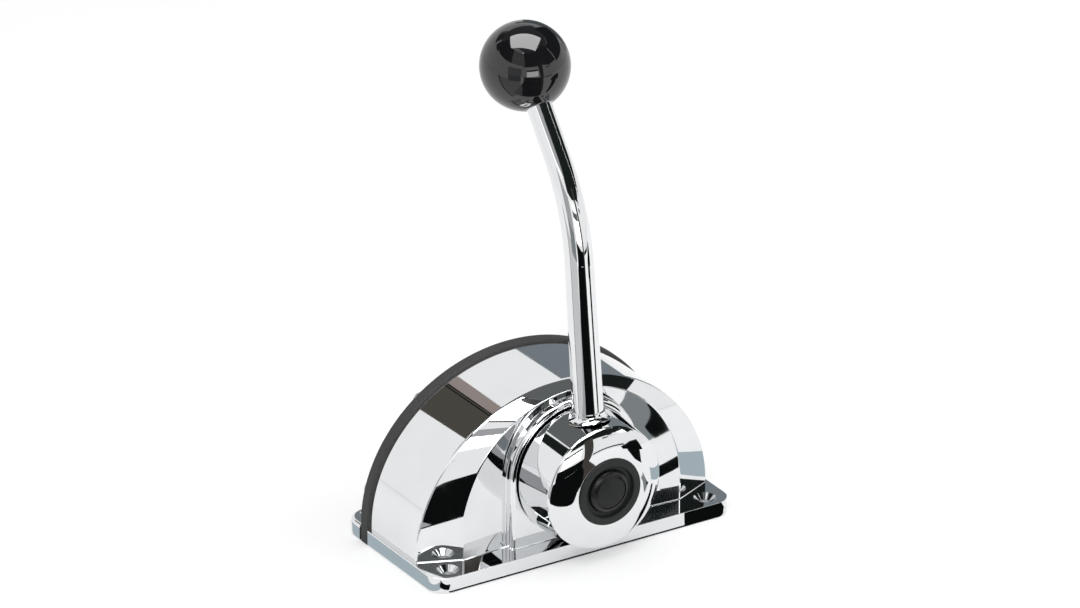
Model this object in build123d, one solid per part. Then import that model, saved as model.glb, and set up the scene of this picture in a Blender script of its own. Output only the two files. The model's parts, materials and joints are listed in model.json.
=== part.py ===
from build123d import *
import os
from math import acos, cos, degrees, pi, radians, sin, sqrt, tan

os.makedirs("parts", exist_ok=True)

# Boat throttle control lever: single lever, top mounted. Sizes in millimetres, angles in degrees.
# Origin: centre of the four base bolts on the mounting plane. +X runs along the base, -Y points
# out of the hub's face, +Z is up. The shaft lies along Y.

# --- Driving dimensions ----------------------------------------------------------------------

# mounting base
bolt_spacing_x = 166.0
bolt_spacing_y = 81.0
bolt_hole = 6.4
countersink = 11.2
bolt_to_end = 12.8
bolt_to_front = 9.8
bolt_to_rear = 8.4
base_height = 9.2
front_corner_radius = 10.0
rear_corner_radius = 12.0
edge_round = 1.6

# housing: a half drum with a sloping shoulder, a dished face and a raised shaft boss
wall = 3.0
cover_plane = 31.2
strip_width = 8.4
strip_proud = 1.6
drum_step = 1.9
drum_foot = 10.8
drum_over_shaft = 47.8        # the drum's top above the shaft
drum_depth = 47.6
drum_front_round = 1.2
shoulder_depth = 10.5
shoulder_half_width = 70.0
shoulder_drop = 2.0
shoulder_round = 1.5
dish_depth = 1.5
boss_half_width = 41.5
boss_height = 5.5
boss_round = 3.0
boss_wall = 4.0
foot_round = 1.6
bearing_boss_radius = 13.0

# rear cover
cover_thickness = 3.2
cover_inset = 1.3
cover_lip_width = 2.5
cover_lip_reach = 2.0
cover_screw = 5.0
cover_screw_angles = (12.0, 52.0, 128.0, 168.0)
cover_boss_radius = 5.0
cover_boss_length = 14.0
boss_bite = 1.0               # how far a screw boss runs into the wall beside it
lip_clearance = 0.4

# shaft line
shaft_height = 48.4
shaft_diameter = 12.0
shaft_flat = 10.2
journal_diameter = 10.0
plunger_diameter = 6.0
bush_wall = 2.0
bush_flange = 1.2
bush_flange_width = 3.0
front_bush_length = 16.0
running_fit = 0.05
end_play = 0.3
stack_gap = 0.1
washer_rim = 2.0
clip_tail = 1.6               # shaft left beyond its retaining ring
shaft_clip_rim = 2.5

# gears and arms
gear_module = 1.5
drive_teeth = 20
sector_teeth = 36
pressure_angle = 20.0
backlash = 0.16
gear_width = 6.0
arm_thickness = 5.0
sector_gaps = 6
arm_pivot_x = 39.0
arm_radius = 36.0
arm_hub_radius = 7.6
arm_tip_radius = 6.5
pivot_diameter = 8.0
throttle_hub_front = 2.0
throttle_hub_rear = 5.7
shift_hub_length = 9.2
clutch_recess_depth = 5.2
clutch_recess_radius = 10.6
clutch_slot_depth = 3.4
clutch_pin_diameter = 3.0
clutch_pin_length = 20.0
clutch_wall = 1.9
pin_play = 0.1
gear_hub_wall = 4.0
arm_shoulder = 2.0
arm_hub_overhang = 0.8        # arm hub in front of the throttle gear's teeth
pin_overhang = 3.2            # pivot pin in front of the throttle gear's teeth
pin_groove_from_tip = 1.0
pin_head = 2.0
pin_head_rim = 2.5
pin_clip_rim = 2.6
swivel_gap = 0.2
swivel_length = 10.0
swivel_radius = 6.0
swivel_stem = 6.0
swivel_hole = 4.2
swivel_round = 0.8
swivel_tail = 1.0             # stem left beyond its retaining ring
swivel_clip_rim = 2.2
ring_thickness = 1.0
groove_depth = 0.6
washer_thickness = 1.0

# detent and friction
detent_radius = 24.0
detent_thickness = 3.0
detent_hub_length = 2.9
detent_depth = 0.8
detent_angles = (-80.0, -30.0, 0.0, 30.0, 80.0)
detent_plunger_diameter = 6.0
detent_plunger_length = 9.0
detent_block_width = 14.0
detent_block_round = 2.0
detent_block_wall = 2.0
detent_block_gap = 2.0        # block above the plunger's tip
detent_block_roof = 1.6
detent_spring_space = 5.0     # block's top above the plunger's
detent_wire = 0.6
detent_turns = 5
notch_clearance = 0.2
plunger_wall = 0.7
plunger_pocket = 4.0
coil_clearance = 0.2
friction_radius = 17.0
friction_pad_diameter = 12.0
friction_screw_diameter = 6.0
friction_nose_radius = 2.0
friction_nose_length = 1.4
friction_nose_clearance = 0.1
friction_pad_gap = 0.05
friction_pad_space = 0.8      # between the pad and the mechanism plate
friction_screw_tail = 2.5
driver_slot_width = 1.0
driver_slot_depth = 1.5
nut_height = 4.0
nut_flat = 10.0

# mechanism plate
plate_thickness = 3.0
plate_margin = 8.0
pivot_margin = 10.0
top_post_x = 34.0
post_clearance = 2.2
foot_post_height = 13.0
post_radius = 5.0
post_screw = 5.0
post_root = 0.5               # how far a post runs into the front wall
screw_clearance = 0.2
screw_hole_depth = 12.0
screw_grip = 10.0
friction_space = 4.5

# hub
hub_gap = 1.5
hub_rear_radius = 38.0
hub_front_radius = 35.9
hub_skirt = 27.0
hub_dome = 5.8
hub_dome_bulge = 1.1
hub_round = 2.5
hub_wall = 5.0
hub_cavity_depth = 16.5
hub_socket_depth = 14.6
hub_web = 3.0
set_screw_diameter = 6.0
set_screw_sink = 0.5
hex_flat = 3.0
hex_depth = 2.5
hub_boss_wall = 2.0
bezel_rim = 0.8               # flat of the hub's face round the bezel

# rod and knob
rod_offset = 14.9             # from the hub's rear face forward to the rod's axis
lower_tilt = 6.2
upper_tilt = 38.2
lower_length = 155.5
upper_length = 84.2
bend_radius = 107.0
neck_reach = 40.4
neck_radius = 9.4
neck_round = 3.0
neck_wall = 1.5               # metal round the neck inside the hub
neck_seam_band = 6.0
rod_foot_radius = 8.7
rod_bend_radius_low = 8.1
rod_bend_radius_high = 7.25
rod_top_radius = 7.15
foot_spigot_radius = 6.0
foot_spigot_length = 16.0
spigot_gap = 0.5
ball_diameter = 50.0
ball_flat_radius = 8.4
insert_radius = 8.0
insert_length = 22.0
top_spigot_radius = 5.0
top_spigot_length = 18.0

# button
bezel_radius = 19.4
bezel_opening = 15.0
bezel_seat = 4.2
bezel_proud = 1.0
bezel_step = 2.5
bezel_lip = 1.5
bezel_round = 0.6
button_radius = 12.4
button_flange = 1.8
button_travel = 4.0
button_gap = 0.3
button_proud = 0.8
button_dome = 2.6
button_crown = (0.78, 0.72)   # point on the dome, as shares of its depth and radius
button_stem_wall = 1.6
button_stem_reach = 2.0
button_flange_gap = 0.4
badge_radius = 9.4
badge_thickness = 1.0
badge_sink = 0.35
badge_round = 0.3
spring_radius = 7.5
spring_wire = 0.9
spring_turns = 4.5
spring_pocket = 2.8
spring_clearance = 1.2
plunger_cover = 1.0           # button left in front of the plunger
plunger_tail = 1.5            # plunger left behind the clutch pin


# --- Helpers ---------------------------------------------------------------------------------

def facing(y):
    """Plane at y that looks out of the hub's face, with X to the right and Z up."""
    return Plane(origin=(0, y, 0), x_dir=(1, 0, 0), z_dir=(0, -1, 0))


def slab(sketch, front, rear):
    """Solid between two planes across the shaft, from a sketch in X and Z."""
    return extrude(facing(rear) * sketch, rear - front)


def disc(radius, front, rear, x=0.0, z=0.0):
    return slab(Pos(x, z) * Circle(radius), front, rear)


def ring(outer, inner, front, rear, x=0.0, z=0.0):
    return slab(Pos(x, z) * (Circle(outer) - Circle(inner)), front, rear)


def turned(outline):
    """Solid turned about the shaft from an outline of (y, radius) points."""
    profile = Pos(0, 0, shaft_height) * (Plane.YZ * make_face(outline))
    return revolve(profile, Axis((0, 0, shaft_height), (0, 1, 0)))


def arch(half_width, foot, rise, y):
    """Arched face at y: flat bottom on the mounting plane, upright feet, elliptical top."""
    bottom = Line((-half_width, 0), (half_width, 0))
    right = Line((half_width, 0), (half_width, foot))
    top = EllipticalCenterArc((0, foot), half_width, rise, arc_size=180)
    left = Line((-half_width, foot), (-half_width, 0))
    return facing(y) * make_face([bottom, right, top, left])


def rim_at(solid, y):
    """Edges of a solid that lie on the plane at y."""
    slack = 0.01
    return solid.edges().filter_by_position(Axis.Y, y - slack, y + slack)


def above_foot(edges):
    """Those edges that lie above the drum's upright foot."""
    return edges.filter_by(lambda e: e.center().Z > drum_foot)


def split_ring(outer, inner, front, rear, x, z):
    """Retaining ring with a gap at its foot."""
    opening = Pos(x, z - outer) * Rectangle(inner, 2 * outer - inner)
    return slab(Pos(x, z) * (Circle(outer) - Circle(inner)) - opening, front, rear)


def countersunk_hole(x, y):
    depth = (countersink - bolt_hole) / 2
    hole = Pos(x, y, base_height / 2) * Cylinder(bolt_hole / 2, 2 * base_height)
    cone = Pos(x, y, base_height - depth / 2) * Cone(bolt_hole / 2, countersink / 2, depth)
    return hole + cone


def base_block(front, rear):
    """Flange between two y planes, with no rounding yet."""
    block = Box(2 * base_half_length, rear - front, base_height)
    return Pos(0, (front + rear) / 2, base_height / 2) * block


def coil(radius, wire, turns, length):
    """Compression spring along +Z, of six-sided wire so that it stays light."""
    rise = length - wire
    path = Helix(pitch=rise / turns, height=rise, radius=radius)
    section = Plane(origin=path @ 0, z_dir=path % 0) * RegularPolygon(wire / 2, 6)
    return Pos(0, 0, wire / 2) * sweep(section, path)


# --- Places that follow from the driving dimensions --------------------------------------------

base_half_length = bolt_spacing_x / 2 + bolt_to_end
base_front = -bolt_spacing_y / 2 - bolt_to_front
base_rear = bolt_spacing_y / 2 + bolt_to_rear

drum_half_width = base_half_length - drum_step
drum_rise = shaft_height + drum_over_shaft - drum_foot
drum_rear = cover_plane - strip_width
drum_front = drum_rear - drum_depth
shoulder_y = drum_front - shoulder_depth
shoulder_foot = drum_foot + drum_rise - shoulder_drop - shoulder_half_width
boss_foot_y = shoulder_y + dish_depth
boss_face = boss_foot_y - boss_height

bush_end = boss_face + front_bush_length
bush_radius = shaft_diameter / 2 + bush_wall
throttle_gear_front = bush_end + end_play
throttle_teeth = throttle_gear_front + throttle_hub_front
throttle_gear_rear = throttle_teeth + gear_width + throttle_hub_rear
shift_teeth = throttle_gear_rear + stack_gap
shift_gear_rear = shift_teeth + gear_width + shift_hub_length
detent_front = shift_gear_rear + stack_gap
detent_rear = detent_front + detent_thickness
detent_hub_rear = detent_rear + detent_hub_length
plate_front = detent_rear + friction_space
plate_rear = plate_front + plate_thickness
rear_bush_radius = journal_diameter / 2 + bush_wall

sector_pitch_radius = gear_module * sector_teeth / 2
drive_pitch_radius = gear_module * drive_teeth / 2
centre_distance = sector_pitch_radius + drive_pitch_radius
arm_pivot_drop = sqrt(centre_distance ** 2 - arm_pivot_x ** 2)
arm_pivot_height = shaft_height - arm_pivot_drop
mesh_angle = degrees(acos(arm_pivot_x / centre_distance))

hub_rear = boss_face - hub_gap
skirt_front = hub_rear - hub_skirt
hub_face = skirt_front - hub_dome
bezel_back = hub_face + bezel_seat
shaft_front = hub_rear - hub_socket_depth
chamber_floor = shaft_front - hub_web

# --- Housing -----------------------------------------------------------------------------------

housing_base = base_block(base_front, drum_rear)
front_corners = housing_base.edges().filter_by(Axis.Z).group_by(Axis.Y)[0]
housing_base = fillet(front_corners, front_corner_radius)
top_rim = housing_base.edges().group_by(Axis.Z)[-1].sort_by(Axis.Y)[:-1]
housing_base = fillet(top_rim, edge_round)

drum = extrude(arch(drum_half_width, drum_foot, drum_rise, drum_rear), drum_depth)
drum_edge = arch(drum_half_width, drum_foot, drum_rise, drum_front)
shoulder_edge = arch(shoulder_half_width, shoulder_foot, shoulder_half_width, shoulder_y)
shoulder = loft([drum_edge, shoulder_edge], ruled=True)
boss_foot_face = arch(boss_half_width, shaft_height, boss_half_width, boss_foot_y)
dish = loft([shoulder_edge, boss_foot_face], ruled=True)
boss = extrude(boss_foot_face, boss_height)
casting = drum + shoulder - dish

casting = fillet(above_foot(rim_at(casting, drum_front)), drum_front_round)
casting = fillet(above_foot(rim_at(casting, shoulder_y)), shoulder_round)
boss = fillet(above_foot(rim_at(boss, boss_face)), boss_round)
casting = casting + boss + housing_base
boss_foot = above_foot(rim_at(casting, boss_foot_y))
casting = fillet(boss_foot, foot_round)


def on_front_foot(edge):
    """Whether an edge is where the drum's front and its boss stand on the flange."""
    slack = 0.1
    place = edge.center()
    level = abs(place.Z - base_height) < slack / 10
    in_front = boss_face - slack < place.Y < drum_front + slack
    return level and in_front and abs(place.X) < drum_half_width


casting = fillet(casting.edges().filter_by(on_front_foot), foot_round)

inner_half_width = drum_half_width - wall
inner_rise = drum_rise - wall
inner_edge_y = drum_front + wall / 2
inner_shoulder_y = shoulder_y + dish_depth + wall
inner_drum = extrude(
    arch(inner_half_width, drum_foot, inner_rise, drum_rear), drum_rear - inner_edge_y
)
inner_shoulder_face = arch(
    shoulder_half_width - wall, shoulder_foot, shoulder_half_width - wall, inner_shoulder_y
)
inner_shoulder = loft(
    [arch(inner_half_width, drum_foot, inner_rise, inner_edge_y), inner_shoulder_face], ruled=True
)
inner_boss_half_width = boss_half_width - boss_wall
inner_boss = extrude(
    arch(inner_boss_half_width, shaft_height, inner_boss_half_width, inner_shoulder_y),
    inner_shoulder_y - boss_face - boss_wall,
)
housing = casting - inner_drum - inner_shoulder - inner_boss

cover_bolt_inset = cover_boss_radius - boss_bite
cover_bolts = [
    (
        (inner_half_width - cover_bolt_inset) * cos(radians(a)),
        drum_foot + (inner_rise - cover_bolt_inset) * sin(radians(a)),
    )
    for a in cover_screw_angles
]
top_post_arch = inner_rise * sqrt(1 - (top_post_x / inner_half_width) ** 2)
top_post_height = drum_foot + top_post_arch - plate_margin - post_clearance
posts = [(-top_post_x, top_post_height), (top_post_x, top_post_height), (0.0, foot_post_height)]
post_roots = (boss_foot_y + post_root, boss_foot_y + post_root, boss_face + boss_wall / 2)
housing = housing + disc(bearing_boss_radius, boss_face + boss_wall / 2, bush_end, 0, shaft_height)
for (x, z), root in zip(posts, post_roots):
    housing = housing + disc(post_radius, root, plate_front, x, z)
    housing = housing - disc(post_screw / 2, plate_front - screw_hole_depth, plate_front, x, z)
for x, z in cover_bolts:
    housing = housing + disc(cover_boss_radius, drum_rear - cover_boss_length, drum_rear, x, z)
    housing = housing - disc(cover_screw / 2, drum_rear - screw_hole_depth, drum_rear, x, z)
housing = housing - disc(bush_radius, boss_face, bush_end, 0, shaft_height)
for x in (-bolt_spacing_x / 2, bolt_spacing_x / 2):
    housing = housing - countersunk_hole(x, -bolt_spacing_y / 2)
export_step(housing, "parts/housing.step")

# --- Edge strip, rear cover and its screws -------------------------------------------------------

strip_outer = extrude(
    arch(drum_half_width + strip_proud, drum_foot, drum_rise + strip_proud, cover_plane),
    strip_width,
)
strip_rims = above_foot(rim_at(strip_outer, cover_plane)) + above_foot(rim_at(strip_outer, drum_rear))
strip_outer = fillet(strip_rims, strip_proud)
strip_inner = extrude(arch(inner_half_width, drum_foot, inner_rise, cover_plane), strip_width)
edge_strip = strip_outer - strip_inner
export_step(edge_strip, "parts/edge_gasket.step")

cover_base = base_block(cover_plane, base_rear)
rear_corners = cover_base.edges().filter_by(Axis.Z).group_by(Axis.Y)[-1]
cover_base = fillet(rear_corners, rear_corner_radius)
cover_rim = cover_base.edges().group_by(Axis.Z)[-1].sort_by(Axis.Y)[1:]
cover_base = fillet(cover_rim, edge_round)
cover_half_width = drum_half_width - cover_inset
cover_rise = drum_rise - cover_inset
cover_back = cover_plane + cover_thickness
cover_plate = extrude(
    arch(cover_half_width, drum_foot, cover_rise, cover_back), cover_thickness
)
cover_plate = fillet(above_foot(rim_at(cover_plate, cover_back)), edge_round)
lip_outer = inner_half_width - lip_clearance
lip_rise = inner_rise - lip_clearance
lip_depth = strip_width + cover_lip_reach
lip = extrude(arch(lip_outer, drum_foot, lip_rise, cover_plane), lip_depth)
lip = lip - extrude(
    arch(lip_outer - cover_lip_width, drum_foot, lip_rise - cover_lip_width, cover_plane), lip_depth
)
for x, z in cover_bolts:
    lip = lip - disc(cover_boss_radius + lip_clearance, cover_plane - lip_depth, cover_plane, x, z)
rear_cover = cover_plate + cover_base + lip
for x, z in cover_bolts:
    rear_cover = rear_cover - disc(cover_screw / 2 + screw_clearance, cover_plane, cover_back, x, z)
for x in (-bolt_spacing_x / 2, bolt_spacing_x / 2):
    rear_cover = rear_cover - countersunk_hole(x, bolt_spacing_y / 2)
export_step(rear_cover, "parts/rear_cover.step")


def pan_screw(diameter, reach, seat, x, z):
    """Pan-head screw along Y whose head sits on the plane y = seat, with a cross-cut slot."""
    head_radius = 0.95 * diameter
    head_height = 0.6 * diameter
    slot_width = 0.2 * diameter
    slot_length = 1.2 * diameter
    top = seat + head_height
    head = fillet(rim_at(disc(head_radius, seat, top, x, z), top), head_height / 2)
    slot = slab(Pos(x, z) * Rectangle(slot_length, slot_width), seat + head_height / 2, top)
    shank = disc(diameter / 2 - running_fit, seat - reach, seat, x, z)
    return head - slot + shank


cover_reach = cover_thickness + strip_width + screw_grip
cover_screws = [pan_screw(cover_screw, cover_reach, cover_back, x, z) for x, z in cover_bolts]
export_step(Compound(cover_screws), "parts/cover_screws.step")

# --- Mechanism plate -----------------------------------------------------------------------------

plate_outline = make_hull(
    [
        edge
        for x, z, r in (
            (-top_post_x, top_post_height, plate_margin),
            (top_post_x, top_post_height, plate_margin),
            (0.0, foot_post_height, plate_margin),
            (-arm_pivot_x, arm_pivot_height, pivot_margin),
            (arm_pivot_x, arm_pivot_height, pivot_margin),
        )
        for edge in (Pos(x, z) * Circle(r)).edges()
    ]
)
friction_z = shaft_height - friction_radius
plate = slab(plate_outline, plate_front, plate_rear)
plate = plate - disc(rear_bush_radius, plate_front, plate_rear, 0, shaft_height)
for x, z in posts:
    plate = plate - disc(post_screw / 2 + screw_clearance, plate_front, plate_rear, x, z)
for x in (-arm_pivot_x, arm_pivot_x):
    plate = plate - disc(pivot_diameter / 2, plate_front, plate_rear, x, arm_pivot_height)
plate = plate - disc(friction_screw_diameter / 2, plate_front, plate_rear, 0, friction_z)
export_step(plate, "parts/mechanism_plate.step")
plate_reach = plate_thickness + screw_grip
plate_screws = [pan_screw(post_screw, plate_reach, plate_rear, x, z) for x, z in posts]
export_step(Compound(plate_screws), "parts/plate_screws.step")

# --- Bushes --------------------------------------------------------------------------------------

front_bore = shaft_diameter / 2 + running_fit
rear_bore = journal_diameter / 2 + running_fit
front_bush = ring(bush_radius, front_bore, boss_face, bush_end, 0, shaft_height)
front_bush = front_bush + ring(
    bush_radius + bush_flange_width, front_bore, boss_face - bush_flange, boss_face, 0, shaft_height
)
export_step(front_bush, "parts/front_bush.step")
rear_bush = ring(rear_bush_radius, rear_bore, plate_front, plate_rear, 0, shaft_height)
rear_bush = rear_bush + ring(
    rear_bush_radius + bush_flange, rear_bore, plate_front - bush_flange, plate_front, 0, shaft_height
)
export_step(rear_bush, "parts/rear_bush.step")

# --- Main shaft ----------------------------------------------------------------------------------

shaft_shoulder = plate_front - bush_flange - end_play
washer_y = plate_rear + end_play
clip_y = washer_y + washer_thickness + stack_gap
shaft_end = clip_y + ring_thickness + clip_tail
clutch_y = shift_gear_rear - clutch_recess_depth - clutch_slot_depth / 2
slot_half_width = clutch_pin_diameter / 2 + pin_play

shaft = disc(shaft_diameter / 2, shaft_front, shaft_shoulder, 0, shaft_height)
shaft = shaft + disc(journal_diameter / 2, shaft_shoulder, shaft_end, 0, shaft_height)
flat_height = (shaft_diameter - shaft_flat) / 2
for side in (-1, 1):
    flat_x = side * (shaft_flat / 2 + flat_height / 2)
    cut = Pos(flat_x, shaft_height) * Rectangle(flat_height, shaft_diameter)
    shaft = shaft - slab(cut, shaft_front, hub_rear)
    shaft = shaft - slab(cut, bush_end + end_play, shaft_shoulder)
shaft = shaft - disc(
    plunger_diameter / 2 + running_fit, shaft_front, clutch_y + 2 * button_travel, 0, shaft_height
)
shaft = shaft - slab(
    Pos(0, shaft_height) * Rectangle(2 * slot_half_width, 2 * shaft_diameter),
    clutch_y - slot_half_width,
    clutch_y + slot_half_width + button_travel,
)
groove_floor = journal_diameter / 2 - groove_depth
groove_end = clip_y + ring_thickness + stack_gap
shaft = shaft - ring(journal_diameter, groove_floor, clip_y, groove_end, 0, shaft_height)
export_step(shaft, "parts/main_shaft.step")

washer_rear = washer_y + washer_thickness
washer = ring(rear_bush_radius + washer_rim, rear_bore, washer_y, washer_rear, 0, shaft_height)
export_step(washer, "parts/shaft_washer.step")
shaft_clip = split_ring(
    journal_diameter / 2 + shaft_clip_rim,
    groove_floor + running_fit,
    clip_y + running_fit,
    clip_y + ring_thickness,
    0,
    shaft_height,
)
export_step(shaft_clip, "parts/shaft_clip.step")

# --- Gears ---------------------------------------------------------------------------------------

tip_height = gear_module
root_depth = 1.25 * gear_module
tooth_overlap = 0.3


def tooth(teeth, angle):
    """One involute tooth of a gear, centred on an angle, from inside its root circle to its tip."""
    pitch = gear_module * teeth / 2
    base = pitch * cos(radians(pressure_angle))
    root = pitch - root_depth
    tip = pitch + tip_height
    half_at_pitch = pi / (2 * teeth) - backlash / (2 * pitch)

    def involute(radius):
        return sqrt((radius / base) ** 2 - 1) - acos(base / radius)

    def flank(radius, side):
        half = half_at_pitch + involute(pitch) - involute(max(radius, base))
        turn = radians(angle) + side * half
        return (radius * cos(turn), radius * sin(turn))

    start = max(root, base)
    flank_steps = 3
    step = (tip - start) / flank_steps
    radii = [root - tooth_overlap] + [start + step * i for i in range(flank_steps + 1)]
    one_side = [flank(radius, -1) for radius in radii]
    other_side = [flank(radius, 1) for radius in reversed(radii)]
    return make_face(Polyline(*one_side, *other_side, close=True))


def drive_gear(first_angle):
    """Full drive gear as a sketch, with one tooth on the given angle."""
    outline = Circle(drive_pitch_radius - root_depth)
    step = 360 / drive_teeth
    return outline + [tooth(drive_teeth, first_angle + step * i) for i in range(drive_teeth)]


def double_flat(clearance):
    """Bore for the shaft with its two flats."""
    width = shaft_flat + 2 * clearance
    return Circle(shaft_diameter / 2 + clearance) & Rectangle(width, 2 * shaft_diameter)


gear_hub_radius = shaft_diameter / 2 + gear_hub_wall
throttle_sketch = Pos(0, shaft_height) * (drive_gear(-mesh_angle) - double_flat(running_fit))
throttle_gear = slab(throttle_sketch, throttle_teeth, throttle_teeth + gear_width)
throttle_hub = Pos(0, shaft_height) * (Circle(gear_hub_radius) - double_flat(running_fit))
throttle_gear = throttle_gear + slab(throttle_hub, throttle_gear_front, throttle_gear_rear)
export_step(throttle_gear, "parts/throttle_drive_gear.step")

shift_hub_radius = clutch_recess_radius + clutch_wall
shift_sketch = Pos(0, shaft_height) * (drive_gear(180 + mesh_angle) - Circle(front_bore))
shift_teeth_rear = shift_teeth + gear_width
shift_gear = slab(shift_sketch, shift_teeth, shift_teeth_rear)
shift_gear = shift_gear + ring(
    shift_hub_radius, front_bore, shift_teeth_rear, shift_gear_rear, 0, shaft_height
)
recess_front = shift_gear_rear - clutch_recess_depth
shift_gear = shift_gear - disc(clutch_recess_radius, recess_front, shift_gear_rear, 0, shaft_height)
shift_gear = shift_gear - slab(
    Pos(0, shaft_height) * Rectangle(2 * slot_half_width, 2 * clutch_recess_radius),
    recess_front - clutch_slot_depth,
    recess_front,
)
export_step(shift_gear, "parts/shift_drive_gear.step")

# --- Detent disc ---------------------------------------------------------------------------------

nose_radius = detent_plunger_diameter / 2 - running_fit
detent_sketch = Circle(detent_radius) - double_flat(running_fit)
for angle in detent_angles:
    notch_centre = detent_radius - detent_depth + nose_radius
    notch = Rot(0, 0, angle) * (Pos(0, notch_centre) * Circle(nose_radius + notch_clearance))
    detent_sketch = detent_sketch - notch
detent_disc = slab(Pos(0, shaft_height) * detent_sketch, detent_front, detent_rear)
detent_hub = Pos(0, shaft_height) * (Circle(gear_hub_radius) - double_flat(running_fit))
detent_disc = detent_disc + slab(detent_hub, detent_rear, detent_hub_rear)
export_step(detent_disc, "parts/detent_disc.step")

# --- Arms, their pins and their cable swivels ------------------------------------------------------

pin_front = throttle_teeth - pin_overhang
arm_inset = (gear_width - arm_thickness) / 2


def sector_arm(mesh_direction, arm_direction, teeth_y, hub_front):
    """Arm with a toothed sector on one side and a cable eye on the other, about its own pin."""
    step = 360 / sector_teeth
    outline = Circle(sector_pitch_radius - root_depth)
    half_span = (sector_gaps + 1) * step
    reach = 2 * sector_pitch_radius
    spread = [radians(mesh_direction + half_span * t) for t in (-1, -0.5, 0, 0.5, 1)]
    fan = [(reach * cos(t), reach * sin(t)) for t in spread]
    outline = outline & make_face(Polyline((0, 0), *fan, close=True))
    offsets = [step * (i + 0.5) for i in range(-sector_gaps - 1, sector_gaps + 1)]
    outline = outline + [tooth(sector_teeth, mesh_direction + t) for t in offsets]
    eye = (arm_radius * cos(radians(arm_direction)), arm_radius * sin(radians(arm_direction)))
    shoulder_disc = Circle(arm_hub_radius + arm_shoulder)
    tip_disc = Pos(*eye) * Circle(arm_tip_radius)
    outline = outline + make_hull(shoulder_disc.edges() + tip_disc.edges())
    outline = outline - Pos(*eye) * Circle(swivel_stem / 2 + running_fit)
    arm_front = teeth_y + arm_inset
    pivot_x = arm_pivot_x * (1 if eye[0] > 0 else -1)
    place = Pos(pivot_x, arm_pivot_height)
    bore = pivot_diameter / 2 + running_fit
    arm = slab(place * outline, arm_front, arm_front + arm_thickness)
    arm = arm + disc(arm_hub_radius, hub_front, plate_front - end_play, pivot_x, arm_pivot_height)
    return arm - disc(bore, hub_front, plate_front - end_play, pivot_x, arm_pivot_height)


hub_front_y = throttle_teeth - arm_hub_overhang
shift_arm = sector_arm(mesh_angle, 180.0, shift_teeth, hub_front_y)
throttle_arm = sector_arm(180.0 - mesh_angle, 0.0, throttle_teeth, hub_front_y)
export_step(shift_arm, "parts/shift_arm.step")
export_step(throttle_arm, "parts/throttle_arm.step")


def pivot_pin(x):
    """Headed pin, pushed through the plate from behind, with a groove for its retaining ring."""
    radius = pivot_diameter / 2
    head_rear = plate_rear + pin_head
    pin = disc(radius, pin_front, plate_rear, x, arm_pivot_height)
    pin = pin + disc(radius + pin_head_rim, plate_rear, head_rear, x, arm_pivot_height)
    front = pin_front + pin_groove_from_tip
    rear = front + ring_thickness + stack_gap
    return pin - ring(pivot_diameter, radius - groove_depth, front, rear, x, arm_pivot_height)


export_step(pivot_pin(-arm_pivot_x), "parts/shift_pivot_pin.step")
export_step(pivot_pin(arm_pivot_x), "parts/throttle_pivot_pin.step")
pivot_clips = [
    split_ring(
        pivot_diameter / 2 + pin_clip_rim,
        pivot_diameter / 2 - groove_depth + running_fit,
        pin_front + pin_groove_from_tip + running_fit,
        pin_front + pin_groove_from_tip + ring_thickness,
        x,
        arm_pivot_height,
    )
    for x in (-arm_pivot_x, arm_pivot_x)
]
export_step(Compound(pivot_clips), "parts/pivot_clips.step")


def swivel(x, teeth_y):
    """Cable end swivel: a stem through the arm's eye and a head with an upright cable hole."""
    arm_front = teeth_y + arm_inset
    head_front = arm_front + arm_thickness + swivel_gap
    head_rear = head_front + swivel_length
    clip_rear = arm_front - swivel_gap
    clip_front = clip_rear - ring_thickness
    stem_front = clip_front - swivel_tail
    stem_radius = swivel_stem / 2
    head = disc(swivel_radius, head_front, head_rear, x, arm_pivot_height)
    head = fillet(rim_at(head, head_rear), swivel_round)
    body = head + disc(stem_radius, stem_front, head_front, x, arm_pivot_height)
    through = 4 * swivel_radius
    hole = Cylinder(swivel_hole / 2, through)
    hole = Pos(x, head_front + swivel_length / 2, arm_pivot_height) * hole
    floor = stem_radius - groove_depth
    groove = ring(swivel_stem, floor, clip_front - stack_gap, clip_rear, x, arm_pivot_height)
    clip = split_ring(
        stem_radius + swivel_clip_rim,
        floor + running_fit,
        clip_front,
        clip_rear - running_fit,
        x,
        arm_pivot_height,
    )
    return body - hole - groove, clip


eye_x = arm_pivot_x + arm_radius
shift_swivel, shift_swivel_clip = swivel(-eye_x, shift_teeth)
throttle_swivel, throttle_swivel_clip = swivel(eye_x, throttle_teeth)
export_step(shift_swivel, "parts/shift_swivel.step")
export_step(shift_swivel_clip, "parts/shift_swivel_clip.step")
export_step(throttle_swivel, "parts/throttle_swivel.step")
export_step(throttle_swivel_clip, "parts/throttle_swivel_clip.step")

# --- Detent block, plunger and spring ----------------------------------------------------------------

detent_y = (detent_front + detent_rear) / 2
nose_tip = shaft_height + detent_radius + stack_gap
block_foot = nose_tip + detent_block_gap
block_top = nose_tip + detent_plunger_length + detent_spring_space
block_depth = plate_front - detent_y + detent_plunger_diameter / 2 + detent_block_wall
block_y = plate_front - block_depth / 2
block_height = block_top - block_foot
detent_block = Pos(0, block_y, block_foot + block_height / 2) * Box(
    detent_block_width, block_depth, block_height
)
block_corners = detent_block.edges().filter_by(Axis.Z).group_by(Axis.Y)[0]
detent_block = fillet(block_corners, detent_block_round)
bore_height = block_height - detent_block_roof
detent_block = detent_block - Pos(0, detent_y, block_foot + bore_height / 2) * Cylinder(
    detent_plunger_diameter / 2, bore_height
)
export_step(detent_block, "parts/detent_block.step")

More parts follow.
